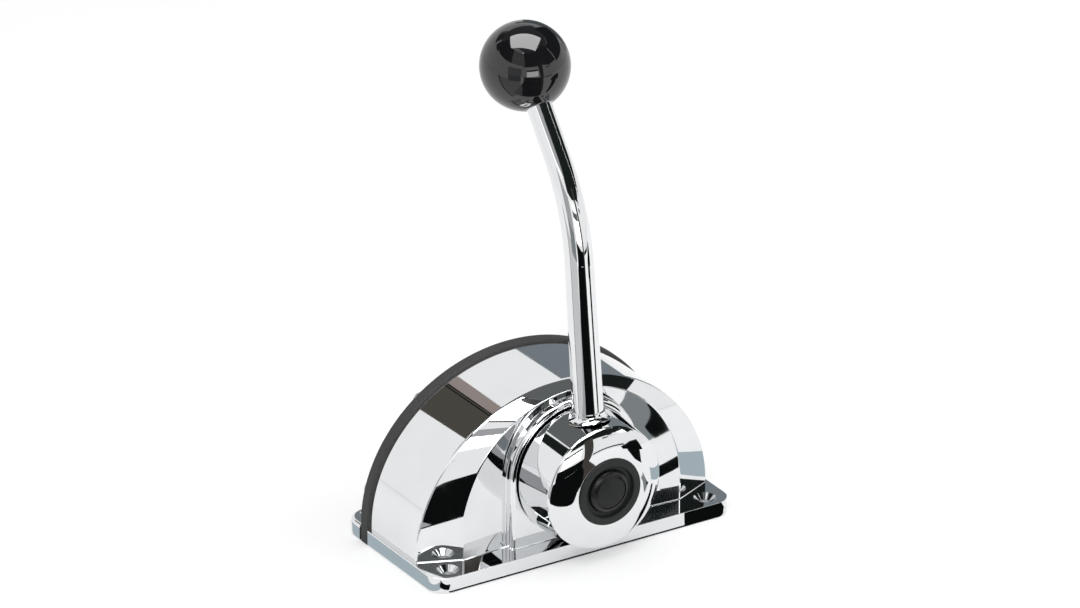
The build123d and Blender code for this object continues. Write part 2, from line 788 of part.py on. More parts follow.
plunger_top = nose_tip + detent_plunger_length
detent_plunger = Pos(0, detent_y, nose_tip + nose_radius) * Sphere(nose_radius)
plunger_body_height = detent_plunger_length - nose_radius
detent_plunger = detent_plunger + Pos(
    0, detent_y, plunger_top - plunger_body_height / 2
) * Cylinder(nose_radius, plunger_body_height)
pocket_radius = nose_radius - plunger_wall
detent_plunger = detent_plunger - Pos(0, detent_y, plunger_top - plunger_pocket / 2) * Cylinder(
    pocket_radius, plunger_pocket
)
export_step(detent_plunger, "parts/detent_plunger.step")

detent_spring_length = block_top - detent_block_roof - plunger_top + plunger_pocket
detent_coil_radius = pocket_radius - detent_wire / 2 - coil_clearance
detent_coil = coil(detent_coil_radius, detent_wire, detent_turns, detent_spring_length)
detent_spring = Pos(0, detent_y, plunger_top - plunger_pocket) * detent_coil
export_step(detent_spring, "parts/detent_spring.step")

# --- Friction pad, its screw and its nut --------------------------------------------------------------

pad_front = detent_rear + friction_pad_gap
pad_rear = plate_front - friction_pad_space
nose_end = pad_rear - friction_nose_length
friction_pad = disc(friction_pad_diameter / 2, pad_front, pad_rear, 0, friction_z)
friction_pad = friction_pad - disc(
    friction_nose_radius + friction_nose_clearance,
    nose_end - friction_nose_clearance,
    pad_rear,
    0,
    friction_z,
)
export_step(friction_pad, "parts/friction_pad.step")
screw_radius = friction_screw_diameter / 2 - running_fit
friction_end = plate_rear + nut_height + friction_screw_tail
friction_screw = disc(friction_nose_radius, nose_end, pad_rear, 0, friction_z)
friction_screw = friction_screw + disc(screw_radius, pad_rear, friction_end, 0, friction_z)
driver_slot = Pos(0, friction_z) * Rectangle(2 * friction_screw_diameter, driver_slot_width)
friction_screw = friction_screw - slab(driver_slot, friction_end - driver_slot_depth, friction_end)
export_step(friction_screw, "parts/friction_screw.step")
nut_sketch = RegularPolygon(nut_flat / 2, 6, major_radius=False) - Circle(friction_screw_diameter / 2)
friction_nut = slab(Pos(0, friction_z) * nut_sketch, plate_rear, plate_rear + nut_height)
export_step(friction_nut, "parts/friction_nut.step")

# --- Lever hub -----------------------------------------------------------------------------------

rod_y = hub_rear - rod_offset
lower_dir = Vector(0, sin(radians(lower_tilt)), cos(radians(lower_tilt)))
upper_dir = Vector(0, sin(radians(upper_tilt)), cos(radians(upper_tilt)))
rod_origin = Vector(0, rod_y, shaft_height)


def along_rod(distance):
    """Plane across the lower rod, at a distance from the shaft's axis."""
    return Plane(origin=rod_origin + lower_dir * distance, x_dir=(1, 0, 0), z_dir=lower_dir)


def rod_taper(plane, low, high, length):
    """Tapered round bar that stands on a plane."""
    return plane * Cone(low, high, length, align=(Align.CENTER, Align.CENTER, Align.MIN))


def rod_bar(plane, radius, length):
    """Round bar that stands on a plane."""
    return plane * Cylinder(radius, length, align=(Align.CENTER, Align.CENTER, Align.MIN))


seat_radius = bezel_radius + bezel_rim
dome_middle = (
    (skirt_front + hub_face) / 2 - hub_dome_bulge,
    (hub_front_radius + seat_radius) / 2 + hub_dome_bulge,
)
hub = turned(
    [
        Line((hub_rear, 0), (hub_rear, hub_rear_radius)),
        Line((hub_rear, hub_rear_radius), (skirt_front, hub_front_radius)),
        ThreePointArc((skirt_front, hub_front_radius), dome_middle, (hub_face, seat_radius)),
        Line((hub_face, seat_radius), (hub_face, 0)),
        Line((hub_face, 0), (hub_rear, 0)),
    ]
)
hub = fillet(rim_at(hub, skirt_front), hub_round)
neck = rod_bar(along_rod(neck_reach / 2), neck_radius, neck_reach / 2)
hub = hub + neck


def on_neck_seam(edge):
    """Whether an edge is where the neck leaves the hub's skirt."""
    place = edge.center()
    high = place.Z > shaft_height + hub_front_radius - neck_seam_band
    return edge.geom_type != GeomType.CIRCLE and high and abs(place.X) < neck_radius


hub = fillet(hub.edges().filter_by(on_neck_seam), neck_round)
boss_radius = bush_radius + bush_flange_width + hub_boss_wall
cavity_floor = hub_rear - hub_cavity_depth
cavity = ring(hub_rear_radius - hub_wall, boss_radius, cavity_floor, hub_rear, 0, shaft_height)
hub = hub - (cavity - rod_bar(along_rod(0), neck_radius + neck_wall, hub_rear_radius))
hub = hub - disc(bezel_radius + running_fit, hub_face, bezel_back, 0, shaft_height)
hub = hub - disc(bezel_opening, hub_face, chamber_floor, 0, shaft_height)
hub = hub - slab(Pos(0, shaft_height) * double_flat(running_fit), shaft_front, hub_rear)
hub = hub - disc(plunger_diameter / 2 + running_fit, chamber_floor, shaft_front, 0, shaft_height)
socket_floor = along_rod(neck_reach - foot_spigot_length - spigot_gap)
socket_depth = foot_spigot_length + 2 * spigot_gap
hub = hub - rod_bar(socket_floor, foot_spigot_radius + running_fit, socket_depth)
set_screw_y = hub_rear - hub_socket_depth / 2
hanging = (Align.CENTER, Align.CENTER, Align.MAX)
set_hole = Cylinder(set_screw_diameter / 2 + running_fit, 2 * hub_rear_radius, align=hanging)
hub = hub - Pos(0, set_screw_y, shaft_height) * set_hole
export_step(hub, "parts/lever_hub.step")

set_top = shaft_height - shaft_diameter / 2 - running_fit
set_length = boss_radius - shaft_diameter / 2 - set_screw_sink
set_screw = Cylinder(set_screw_diameter / 2, set_length, align=hanging)
hex_socket = extrude(RegularPolygon(hex_flat / 2, 6, major_radius=False), hex_depth)
set_screw = set_screw - Pos(0, 0, -set_length) * hex_socket
set_screw = Pos(0, set_screw_y, set_top) * set_screw
export_step(set_screw, "parts/hub_set_screw.step")

# --- Lever rod -----------------------------------------------------------------------------------

bend_angle = upper_tilt - lower_tilt
bend_cut = bend_radius * tan(radians(bend_angle / 2))
straight_end = lower_length - bend_cut
corner = rod_origin + lower_dir * lower_length
ball_centre = corner + upper_dir * upper_length
bend_start = rod_origin + lower_dir * straight_end
bend_end = corner + upper_dir * bend_cut
to_middle = (upper_dir - lower_dir).normalized()
bend_middle = corner + to_middle * (bend_radius / cos(radians(bend_angle / 2)) - bend_radius)
bend_path = ThreePointArc(bend_start, bend_middle, bend_end)
ball_flat = sqrt((ball_diameter / 2) ** 2 - ball_flat_radius ** 2)
upper_straight = upper_length - bend_cut - ball_flat
upper_plane = Plane(origin=bend_end, x_dir=(1, 0, 0), z_dir=upper_dir)
knob_seat = Plane(origin=ball_centre - upper_dir * ball_flat, x_dir=(1, 0, 0), z_dir=upper_dir)

low_section = Plane(origin=bend_start, x_dir=(1, 0, 0), z_dir=lower_dir) * Circle(rod_bend_radius_low)
high_section = Plane(origin=bend_end, x_dir=(1, 0, 0), z_dir=upper_dir) * Circle(rod_bend_radius_high)
rod = rod_taper(along_rod(neck_reach), rod_foot_radius, rod_bend_radius_low, straight_end - neck_reach)
rod = rod + sweep([low_section, high_section], bend_path, multisection=True)
rod = rod + rod_taper(upper_plane, rod_bend_radius_high, rod_top_radius, upper_straight)
rod = rod + rod_bar(along_rod(neck_reach - foot_spigot_length), foot_spigot_radius, foot_spigot_length)
rod = rod + rod_bar(knob_seat, top_spigot_radius, top_spigot_length)
export_step(rod, "parts/lever_rod.step")

# --- Ball knob and its insert -------------------------------------------------------------------------

ball = Plane(origin=ball_centre, x_dir=(1, 0, 0), z_dir=upper_dir) * Sphere(ball_diameter / 2)
flat_cut = rod_bar(knob_seat.offset(-ball_diameter), ball_diameter, ball_diameter)
insert_bore = rod_bar(knob_seat, insert_radius + running_fit / 2, insert_length)
ball_knob = ball - flat_cut - insert_bore
export_step(ball_knob, "parts/ball_knob.step")
insert = rod_bar(knob_seat, insert_radius, insert_length)
insert_hole = top_spigot_length + 2 * spigot_gap
insert = insert - rod_bar(knob_seat, top_spigot_radius + running_fit / 2, insert_hole)
export_step(insert, "parts/knob_insert.step")

# --- Button, bezel, plunger, pin and spring ------------------------------------------------------------

bezel_front = hub_face - bezel_proud
lip_front = bezel_front + bezel_step
lip_rear = lip_front + bezel_lip
bezel = ring(bezel_radius, bezel_opening, bezel_front, bezel_back, 0, shaft_height)
bezel = fillet(rim_at(bezel, bezel_front), bezel_round)
lip_opening = button_radius + button_gap
bezel = bezel + ring(bezel_opening + 0.1, lip_opening, lip_front, lip_rear, 0, shaft_height)
export_step(bezel, "parts/button_bezel.step")

flange_radius = bezel_opening - button_flange_gap
flange_front = lip_rear + button_gap
flange_rear = flange_front + button_flange
button_face = bezel_front - button_proud
dome_edge = button_face + button_dome
button = turned(
    [
        Line((flange_rear, 0), (flange_rear, flange_radius)),
        Line((flange_rear, flange_radius), (flange_front, flange_radius)),
        Line((flange_front, flange_radius), (flange_front, button_radius)),
        Line((flange_front, button_radius), (dome_edge, button_radius)),
        ThreePointArc(
            (dome_edge, button_radius),
            (dome_edge - button_crown[0] * button_dome, button_crown[1] * button_radius),
            (button_face, 0),
        ),
        Line((button_face, 0), (flange_rear, 0)),
    ]
)
spring_outer = spring_radius + spring_wire / 2
stem_radius = plunger_diameter / 2 + button_stem_wall
stem_rear = flange_rear + button_stem_reach
spring_seat = flange_rear - spring_pocket
recess = ring(
    spring_outer + spring_clearance, stem_radius, spring_seat, flange_rear, 0, shaft_height
)
badge_back = button_face + badge_sink + badge_thickness
badge_seat = disc(badge_radius + running_fit, button_face - button_dome, badge_back, 0, shaft_height)
button = button - recess - badge_seat + disc(stem_radius, flange_rear, stem_rear, 0, shaft_height)
plunger_front = badge_back + plunger_cover
plunger_bore = plunger_diameter / 2 + running_fit / 2
button = button - disc(plunger_bore, plunger_front, stem_rear, 0, shaft_height)
export_step(button, "parts/warm_up_button.step")
badge = disc(badge_radius, badge_back - badge_thickness, badge_back, 0, shaft_height)
badge = fillet(rim_at(badge, badge_back - badge_thickness), badge_round)
export_step(badge, "parts/button_badge.step")

plunger_rear = clutch_y + clutch_pin_diameter / 2 + plunger_tail
plunger = disc(plunger_diameter / 2, plunger_front, plunger_rear, 0, shaft_height)
pin_hole = Pos(0, clutch_y, shaft_height) * Cylinder(clutch_pin_diameter / 2, 2 * plunger_diameter)
export_step(plunger - pin_hole, "parts/button_plunger.step")
clutch_pin = Pos(0, clutch_y, shaft_height) * Cylinder(clutch_pin_diameter / 2, clutch_pin_length)
export_step(clutch_pin, "parts/clutch_pin.step")

spring_length = chamber_floor - spring_seat
button_coil = coil(spring_radius, spring_wire, spring_turns, spring_length - 2 * stack_gap)
spring_foot = (0, spring_seat + stack_gap, shaft_height)
spring_plane = Plane(origin=spring_foot, x_dir=(1, 0, 0), z_dir=(0, 1, 0))
export_step(spring_plane * button_coil, "parts/button_spring.step")
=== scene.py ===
import json
import math

import bmesh
import bpy
from mathutils import Matrix, Vector


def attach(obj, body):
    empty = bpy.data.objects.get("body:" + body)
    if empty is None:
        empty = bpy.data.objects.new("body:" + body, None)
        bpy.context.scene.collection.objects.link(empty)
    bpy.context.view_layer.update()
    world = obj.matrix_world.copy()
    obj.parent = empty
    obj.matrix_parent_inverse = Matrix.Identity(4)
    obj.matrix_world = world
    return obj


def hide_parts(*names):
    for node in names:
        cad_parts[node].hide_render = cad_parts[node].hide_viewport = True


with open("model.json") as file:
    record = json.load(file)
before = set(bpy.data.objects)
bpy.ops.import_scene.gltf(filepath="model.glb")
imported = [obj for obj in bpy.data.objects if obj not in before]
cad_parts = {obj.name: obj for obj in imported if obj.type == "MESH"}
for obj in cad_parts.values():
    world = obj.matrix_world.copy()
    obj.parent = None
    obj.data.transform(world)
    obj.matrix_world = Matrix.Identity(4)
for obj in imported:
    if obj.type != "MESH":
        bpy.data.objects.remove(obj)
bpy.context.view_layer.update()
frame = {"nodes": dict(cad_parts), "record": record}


# --- Housing -------------------------------------------------------------------------------------
# The half drum with its sloping shoulder, dished face and raised shaft boss, cast in zinc with the
# front half of the bolt flange. It is polished and chrome plated, and bolts down to the deck.

# each arch: half width, height of the upright foot, rise of the half ellipse above it
drum_foot, shoulder_foot, shaft_z = 0.0108, 0.0242, 0.0484
drum = (0.0939, drum_foot, 0.0854)
shoulder = (0.0700, shoulder_foot, 0.0700)
boss = (0.0415, shaft_z, 0.0415)
wall, boss_wall = 0.0030, 0.0040
# places along Y, from the seam with the edge strip to the front of the flange
seam_y, drum_front, dish_y, shoulder_front, boss_front = 0.0228, -0.0248, -0.0338, -0.0353, -0.0393
flange_front, flange_corner = -0.0503, 0.0100
flange_half, flange_top, flange_round = 0.0958, 0.0092, 0.0020
dish_round, boss_round, drum_round = 0.0016, 0.0028, 0.0010
bolt_x, bolt_y, bolt_hole = 0.0830, 0.0405, 0.0032
sink_radius, sink_below, sink_above = 0.0066, 0.0030, 0.0004
bearing_radius, post_radius = 0.0130, 0.0050
dish_root, boss_root = -0.0330, -0.0370           # inside the walls that the posts grow from
plate_seat, screw_root = 0.0136, 0.0088
plate_posts = ((-0.0340, 0.0770, dish_root), (0.0340, 0.0770, dish_root), (0.0, 0.0130, boss_root))
screw_places = ((0.0850, 0.0271), (0.0535, 0.0726))
near = 1e-6                                       # places closer than this are one place


def within(arch, thickness):
    """The arch a wall's thickness further in."""
    half_width, foot, rise = arch
    return half_width - thickness, foot, rise - thickness


def arch_row(bm, arch, y, floor):
    """Open row of edges over an arch: one upright foot, the half ellipse and the other foot."""
    half_width, foot, rise = arch
    ring = bmesh.ops.create_circle(bm, segments=256, radius=1.0)["verts"]
    bmesh.ops.rotate(bm, verts=ring, cent=(0, 0, 0), matrix=Matrix.Rotation(math.radians(90), 3, "X"))
    bmesh.ops.delete(bm, geom=[v for v in ring if v.co.z < -10 * near], context="VERTS")
    row = [v for v in ring if v.is_valid]
    bmesh.ops.scale(bm, verts=row, vec=(half_width, 1, rise))
    bmesh.ops.translate(bm, verts=row, vec=(0, y, foot))
    ends = sorted(row, key=lambda v: v.co.x)
    feet = bmesh.ops.extrude_vert_indiv(bm, verts=[ends[0], ends[-1]])["verts"]
    for v in feet:
        v.co.z = floor
    return row + feet


def row_edges(row):
    """The edges that join vertices of the row."""
    inside = set(row)
    edges = dict.fromkeys(e for v in row for e in v.link_edges)
    return [e for e in edges if all(v in inside for v in e.verts)]


def extruded(bm, edges):
    """The new vertices of edges that are extruded and still lie in place."""
    made = bmesh.ops.extrude_edge_only(bm, edges=edges)["geom"]
    return [g for g in made if isinstance(g, bmesh.types.BMVert)]


def next_row(bm, row, old, arch, y, floor):
    """The row pulled on to another arch at another y, with the skin between the two."""
    new = extruded(bm, row_edges(row))
    feet = [v for v in new if abs(v.co.z - floor) < near]
    top = [v for v in new if abs(v.co.z - floor) >= near]
    wider = arch[0] / old[0]
    bmesh.ops.translate(bm, verts=top, vec=(0, 0, -old[1]))
    bmesh.ops.scale(bm, verts=top, vec=(wider, 1, arch[2] / old[2]))
    bmesh.ops.translate(bm, verts=top, vec=(0, 0, arch[1]))
    bmesh.ops.scale(bm, verts=feet, vec=(wider, 1, 1))
    bmesh.ops.translate(bm, verts=new, vec=(0, y - new[0].co.y, 0))
    return new


def arch_skin(bm, stations, floor):
    """Skin over arches that are given as (arch, y) stations, and its rows."""
    (arch, y), *later = stations
    rows = [arch_row(bm, arch, y, floor)]
    for new_arch, new_y in later:
        rows.append(next_row(bm, rows[-1], arch, new_arch, new_y, floor))
        arch = new_arch
    return rows


def walk(verts, start):
    """The vertices in order along their edges, from one end."""
    inside, path = set(verts), [start]
    while len(path) < len(inside):
        step = [e.other_vert(path[-1]) for e in path[-1].link_edges]
        step = [v for v in step if v in inside and v not in path[-2:]]
        if not step:
            break
        path.append(step[0])
    return path


def foot_of(row, side):
    """The row's lowest vertex on the left (-1) or on the right (1)."""
    return min(row, key=lambda v: (round(v.co.z, 7), -side * v.co.x))


def flange_outline(bm, y_open, y_far, radius):
    """Three-sided outline of the flange's top with two round corners, open along y_open."""
    turn = 1 if y_far < y_open else -1
    steps, inset, corner_y = 10, flange_half - radius, y_far + turn * radius
    row = [bm.verts.new((-flange_half, y_open, flange_top))]
    for side, first in ((-1, (-flange_half, corner_y, flange_top)), (1, (inset, y_far, flange_top))):
        v = bm.verts.new(first)
        bm.edges.new((row[-1], v))
        row.append(v)
        bmesh.ops.spin(bm, geom=[v], cent=(side * inset, corner_y, flange_top), axis=(0, 0, turn),
                       dvec=(0, 0, 0), angle=math.radians(90), steps=steps, use_duplicate=False)
        arc = {v}
        for _ in range(steps):
            around_arc = {e.other_vert(a) for a in arc for e in a.link_edges}
            arc |= {a for a in around_arc if a not in row[:-1]}
        row += walk(arc, v)[1:]
    end = bm.verts.new((flange_half, y_open, flange_top))
    bm.edges.new((row[-1], end))
    return row + [end]


def lies_at(edge, axis, place):
    """True where both ends of the edge are at that place along the axis (0, 1 or 2 for X, Y or Z)."""
    return all(abs(v.co[axis] - place) < near for v in edge.verts)


def at_y(bm, y, above=-1.0):
    """Edges at that y that reach higher than a level."""
    return [e for e in bm.edges if lies_at(e, 1, y) and max(v.co.z for v in e.verts) > above]


def rounded(bm, edges, offset, segments):
    bmesh.ops.bevel(bm, geom=edges, offset=offset, offset_type="OFFSET", segments=segments, profile=0.5,
                    affect="EDGES", clamp_overlap=True, material=-1)


def closed(bm, gap=near):
    bmesh.ops.remove_doubles(bm, verts=bm.verts, dist=gap)
    bmesh.ops.recalc_face_normals(bm, faces=bm.faces)


def cut_away(bm, cutter):
    """The mesh less the cutter's volume."""
    made = []
    for part in (bm, cutter):
        mesh = bpy.data.meshes.new("cut")
        part.to_mesh(mesh)
        part.free()
        obj = bpy.data.objects.new("cut", mesh)
        bpy.context.scene.collection.objects.link(obj)
        made.append(obj)
    work, tool = made
    mod = work.modifiers.new("cut", "BOOLEAN")
    mod.operation, mod.solver, mod.object = "DIFFERENCE", "EXACT", tool
    result = work.evaluated_get(bpy.context.evaluated_depsgraph_get()).to_mesh()
    out = bmesh.new()
    out.from_mesh(result)
    for obj in made:
        mesh = obj.data
        bpy.data.objects.remove(obj)
        bpy.data.meshes.remove(mesh)
    return out


def bolt_holes_cut(bm, y):
    """The mesh with the countersunk holes for the two base bolts at one y."""
    sink_z = flange_top + (sink_above - sink_below) / 2
    for top_radius, depth, z in ((bolt_hole, 0.04, 0), (sink_radius, sink_below + sink_above, sink_z)):
        cutter = bmesh.new()
        for x in (-bolt_x, bolt_x):
            hole = bmesh.ops.create_cone(cutter, cap_ends=True, segments=96, radius1=bolt_hole,
                                         radius2=top_radius, depth=depth)["verts"]
            bmesh.ops.translate(cutter, verts=hole, vec=(x, y, z))
        bm = cut_away(bm, cutter)
    return bm


def post(bm, x, z, radius, front, rear):
    """Round post along Y."""
    verts = bmesh.ops.create_cone(bm, cap_ends=True, segments=64, radius1=radius, radius2=radius,
                                  depth=rear - front)["verts"]
    bmesh.ops.rotate(bm, verts=verts, cent=(0, 0, 0), matrix=Matrix.Rotation(math.radians(-90), 3, "X"))
    bmesh.ops.translate(bm, verts=verts, vec=(x, (front + rear) / 2, z))


def surface_noise(name, patch_detail, wave_scale, wave_detail):
    """Node group: a patchy roughness and a height for slight waviness, on Object coordinates."""
    group = bpy.data.node_groups.new(name, "ShaderNodeTree")
    for socket in ("Scale", "Low", "High"):
        group.interface.new_socket(socket, in_out="INPUT", socket_type="NodeSocketFloat")
    for socket in ("Roughness", "Mask", "Height"):
        group.interface.new_socket(socket, in_out="OUTPUT", socket_type="NodeSocketFloat")
    n, link = group.nodes, group.links.new
    inp, out = n.new("NodeGroupInput"), n.new("NodeGroupOutput")
    coords = n.new("ShaderNodeTexCoord")
    patch = n.new("ShaderNodeTexNoise")
    patch.inputs["Detail"].default_value = patch_detail
    link(coords.outputs["Object"], patch.inputs["Vector"])
    link(inp.outputs["Scale"], patch.inputs["Scale"])
    spread = n.new("ShaderNodeMapRange")
    spread.inputs["From Min"].default_value = 0.35
    spread.inputs["From Max"].default_value = 0.70
    link(patch.outputs["Fac"], spread.inputs["Value"])
    link(inp.outputs["Low"], spread.inputs["To Min"])
    link(inp.outputs["High"], spread.inputs["To Max"])
    wave = n.new("ShaderNodeTexNoise")
    wave.inputs["Scale"].default_value = wave_scale
    wave.inputs["Detail"].default_value = wave_detail
    link(coords.outputs["Object"], wave.inputs["Vector"])
    link(spread.outputs["Result"], out.inputs["Roughness"])
    link(patch.outputs["Fac"], out.inputs["Mask"])
    link(wave.outputs["Fac"], out.inputs["Height"])
    return group


def finish(name, group, color, scale, roughness, metallic=0.0, second=None, bump=0.0, relief=0.0001,
           **sockets):
    """Material whose roughness, slight colour change and relief come from a surface group."""
    second = second or [0.93 * c for c in color]
    mat = bpy.data.materials.new(name)
    mat.use_nodes = True
    n, link = mat.node_tree.nodes, mat.node_tree.links.new
    shader = n["Principled BSDF"]
    shader.inputs["Metallic"].default_value = metallic
    marks = n.new("ShaderNodeGroup")
    marks.node_tree = group
    for socket, value in zip(("Scale", "Low", "High"), (scale, *roughness)):
        marks.inputs[socket].default_value = value
    link(marks.outputs["Roughness"], shader.inputs["Roughness"])
    tint = n.new("ShaderNodeMix")
    tint.data_type = "RGBA"
    tint.inputs["A"].default_value = (*color, 1)
    tint.inputs["B"].default_value = (*second, 1)
    link(marks.outputs["Mask"], tint.inputs["Factor"])
    link(tint.outputs["Result"], shader.inputs["Base Color"])
    if bump:
        bumps = n.new("ShaderNodeBump")
        bumps.inputs["Strength"].default_value = bump
        bumps.inputs["Distance"].default_value = relief
        link(marks.outputs["Height"], bumps.inputs["Height"])
        link(bumps.outputs["Normal"], shader.inputs["Normal"])
    for key, value in sockets.items():
        shader.inputs[key.replace("_", " ")].default_value = value
    return mat


def piece(name, bm, body, stands_for, material, sharp=32.0, even=True):
    """Object from a finished mesh, in place of its CAD node, with smooth faces between sharp edges."""
    mesh = bpy.data.meshes.new(name)
    bm.to_mesh(mesh)
    bm.free()
    mesh.shade_smooth()
    mesh.set_sharp_from_angle(angle=math.radians(sharp))
    obj = bpy.data.objects.new(name, mesh)
    bpy.context.scene.collection.objects.link(obj)
    mesh.materials.append(material)
    if even:
        weighted = obj.modifiers.new("even normals", "WEIGHTED_NORMAL")
        weighted.keep_sharp = True
    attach(obj, body)
    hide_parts(*stands_for)
    return obj


polish_marks = surface_noise("polish marks", patch_detail=6.0, wave_scale=45.0, wave_detail=1.0)
chrome = finish("polished chrome", polish_marks, (0.80, 0.81, 0.82), scale=60.0, roughness=(0.015, 0.05),
                metallic=1.0, bump=0.05)

# outside: drum, shoulder, dish and boss, then the flange's top and its edge down to the deck
bm = bmesh.new()
rows = arch_skin(bm, [(drum, seam_y), (drum, drum_front), (shoulder, shoulder_front), (boss, dish_y),
                      (boss, boss_front)], flange_top)
bm.faces.new(walk(rows[-1], foot_of(rows[-1], -1)))
edge = flange_outline(bm, seam_y, flange_front, flange_corner)
left, right = [[foot_of(row, side) for row in rows] for side in (-1, 1)]
bm.faces.new(edge + right + left[::-1])
under = extruded(bm, row_edges(edge))
bmesh.ops.translate(bm, verts=under, vec=(0, 0, -flange_top))
under_edge = walk(under, min(under, key=lambda v: (round(-v.co.y, 6), v.co.x)))

# inside: the same arches less the wall, open at the bottom
inner_drum, inner_shoulder, inner_boss = within(drum, wall), within(shoulder, wall), within(boss, boss_wall)
inner_step, inner_dish = drum_front + wall / 2, dish_y + wall
inner_rows = arch_skin(bm, [(inner_drum, seam_y), (inner_drum, inner_step), (inner_shoulder, inner_dish),
                            (inner_boss, inner_dish), (inner_boss, boss_front + boss_wall)], 0.0)
bm.faces.new(walk(inner_rows[-1], foot_of(inner_rows[-1], -1)))
inner_left, inner_right = [[foot_of(row, side) for row in inner_rows] for side in (-1, 1)]
bm.faces.new(under_edge + inner_right + inner_left[::-1])
outer_rim, inner_rim = walk(rows[0], left[0]), walk(inner_rows[0], inner_left[0])
bm.faces.new([under_edge[0], edge[0]] + outer_rim + [edge[-1], under_edge[-1]] + inner_rim[::-1])
closed(bm, near / 10)

# the fillets of the dish and the foot, the boss's rim, the drum's front edge and the flange's rim
above_flange, above_fillet = flange_top + 1e-5, flange_top + 0.0020
slight_turn, soft_turn, sharp_turn = 0.02, 0.07, 0.50      # least angles between two faces
slack, rim_front = 0.0001, -0.0450                # rim edges in front of rim_front are rounded too
feet = [e for e in bm.edges if lies_at(e, 2, flange_top)
        and all(boss_front - slack < v.co.y < drum_front + slack for v in e.verts)
        and max(abs(v.co.x) for v in e.verts) < drum[0] + slack]
soft = [e for e in at_y(bm, shoulder_front, above_flange) + at_y(bm, dish_y, above_flange) + feet
        if len(e.link_faces) == 2 and e.calc_face_angle(0) > soft_turn
        and min(v.co.z for v in e.verts) > flange_top / 2]
rounded(bm, soft, dish_round, 4)
boss_rim = [e for e in at_y(bm, boss_front, above_fillet) if e.calc_face_angle(0) > sharp_turn]
rounded(bm, boss_rim, boss_round, 5)
drum_edge = [e for e in at_y(bm, drum_front, above_flange) if e.calc_face_angle(0) > slight_turn]
rounded(bm, drum_edge, drum_round, 3)
flange_rim = [e for e in bm.edges if lies_at(e, 2, flange_top) and len(e.link_faces) == 2
              and any(f.normal.z < 0.5 for f in e.link_faces)
              and (max(abs(v.co.x) for v in e.verts) > flange_half - slack
                   or min(v.co.y for v in e.verts) < rim_front)
              and not all(v.co.y > seam_y - slack for v in e.verts)]
rounded(bm, flange_rim, flange_round, 6)
bm = bolt_holes_cut(bm, -bolt_y)

# the bearing's seat, the posts under the mechanism plate and the bosses for the cover's screws
post(bm, 0, shaft_z, bearing_radius, boss_root, inner_step)
for x, z, root in plate_posts:
    post(bm, x, z, post_radius, root, plate_seat)
for x, z in screw_places:
    for side in (-1, 1):
        post(bm, side * x, z, post_radius, screw_root, seam_y - slack)
housing = piece("drum_housing", bm, "base", ["housing"], chrome)

# --- Edge strip ----------------------------------------------------------------------------------
# A rubber section that runs round the drum between the housing and its rear cover and keeps spray
# out. It is extruded with a rounded bead and nipped between the two castings.

bead = 0.0016                                     # how far the strip stands out, and its rounding
strip_rear, outer_reach = 0.0312, 0.985
strip_in, strip_out = within(drum, wall), within(drum, -bead)
rubber_grain = surface_noise("rubber grain", patch_detail=4.0, wave_scale=1600.0, wave_detail=3.0)
strip_rubber = finish("charcoal rubber", rubber_grain, (0.004, 0.004, 0.004), second=(0.070, 0.069, 0.068),
                      scale=900.0, roughness=(0.45, 0.70), bump=0.9, relief=0.0004, Specular_IOR_Level=0.3)


def reach(v, arch):
    """1 for a vertex on the arch, and less for one inside it."""
    half_width, foot, rise = arch
    return (v.co.x / half_width) ** 2 + (max(v.co.z - foot, 0) / rise) ** 2


bm = bmesh.new()
arch_skin(bm, [(strip_in, seam_y), (strip_out, seam_y), (strip_out, strip_rear), (strip_in, strip_rear),
               (strip_in, seam_y)], 0.0)
bmesh.ops.remove_doubles(bm, verts=bm.verts, dist=near)
for side in (-1, 1):
    end = [e for e in bm.edges if all(v.co.z < near and v.co.x * side > 0 for v in e.verts)]
    bmesh.ops.contextual_create(bm, geom=end)
closed(bm)
outer = [e for e in at_y(bm, seam_y, near) + at_y(bm, strip_rear, near)
         if all(reach(v, strip_out) > outer_reach for v in e.verts)]
rounded(bm, outer, bead, 5)
strip = piece("edge_strip", bm, "base", ["edge_gasket"], strip_rubber)

# --- Rear cover ----------------------------------------------------------------------------------
# The D-shaped back of the drum with the rear half of the bolt flange, cast in zinc and chromed like
# the housing. A lip on its inside centres it, and four screws pull it on to the housing.

cover_rear, cover_step, cover_round = 0.0344, 0.0013, 0.0014
flange_rear, rear_corner = 0.0489, 0.0120
lip_gap, lip_wall, lip_reach = 0.0004, 0.0025, 0.0020
above_deck = 0.0005
cover_chrome = finish("chromed cover", polish_marks, (0.79, 0.80, 0.81), scale=50.0, roughness=(0.02, 0.07),
                      metallic=1.0, bump=0.06)

plate = bmesh.new()
back = within(drum, cover_step)
for row in arch_skin(plate, [(back, strip_rear), (back, cover_rear)], 0.0):
    plate.faces.new(walk(row, foot_of(row, -1)))
bmesh.ops.contextual_create(plate, geom=[e for e in plate.edges if lies_at(e, 2, 0.0)])
closed(plate)
rounded(plate, at_y(plate, cover_rear, above_deck), cover_round, 4)
held = bpy.data.meshes.new("plate")
plate.to_mesh(held)
plate.free()

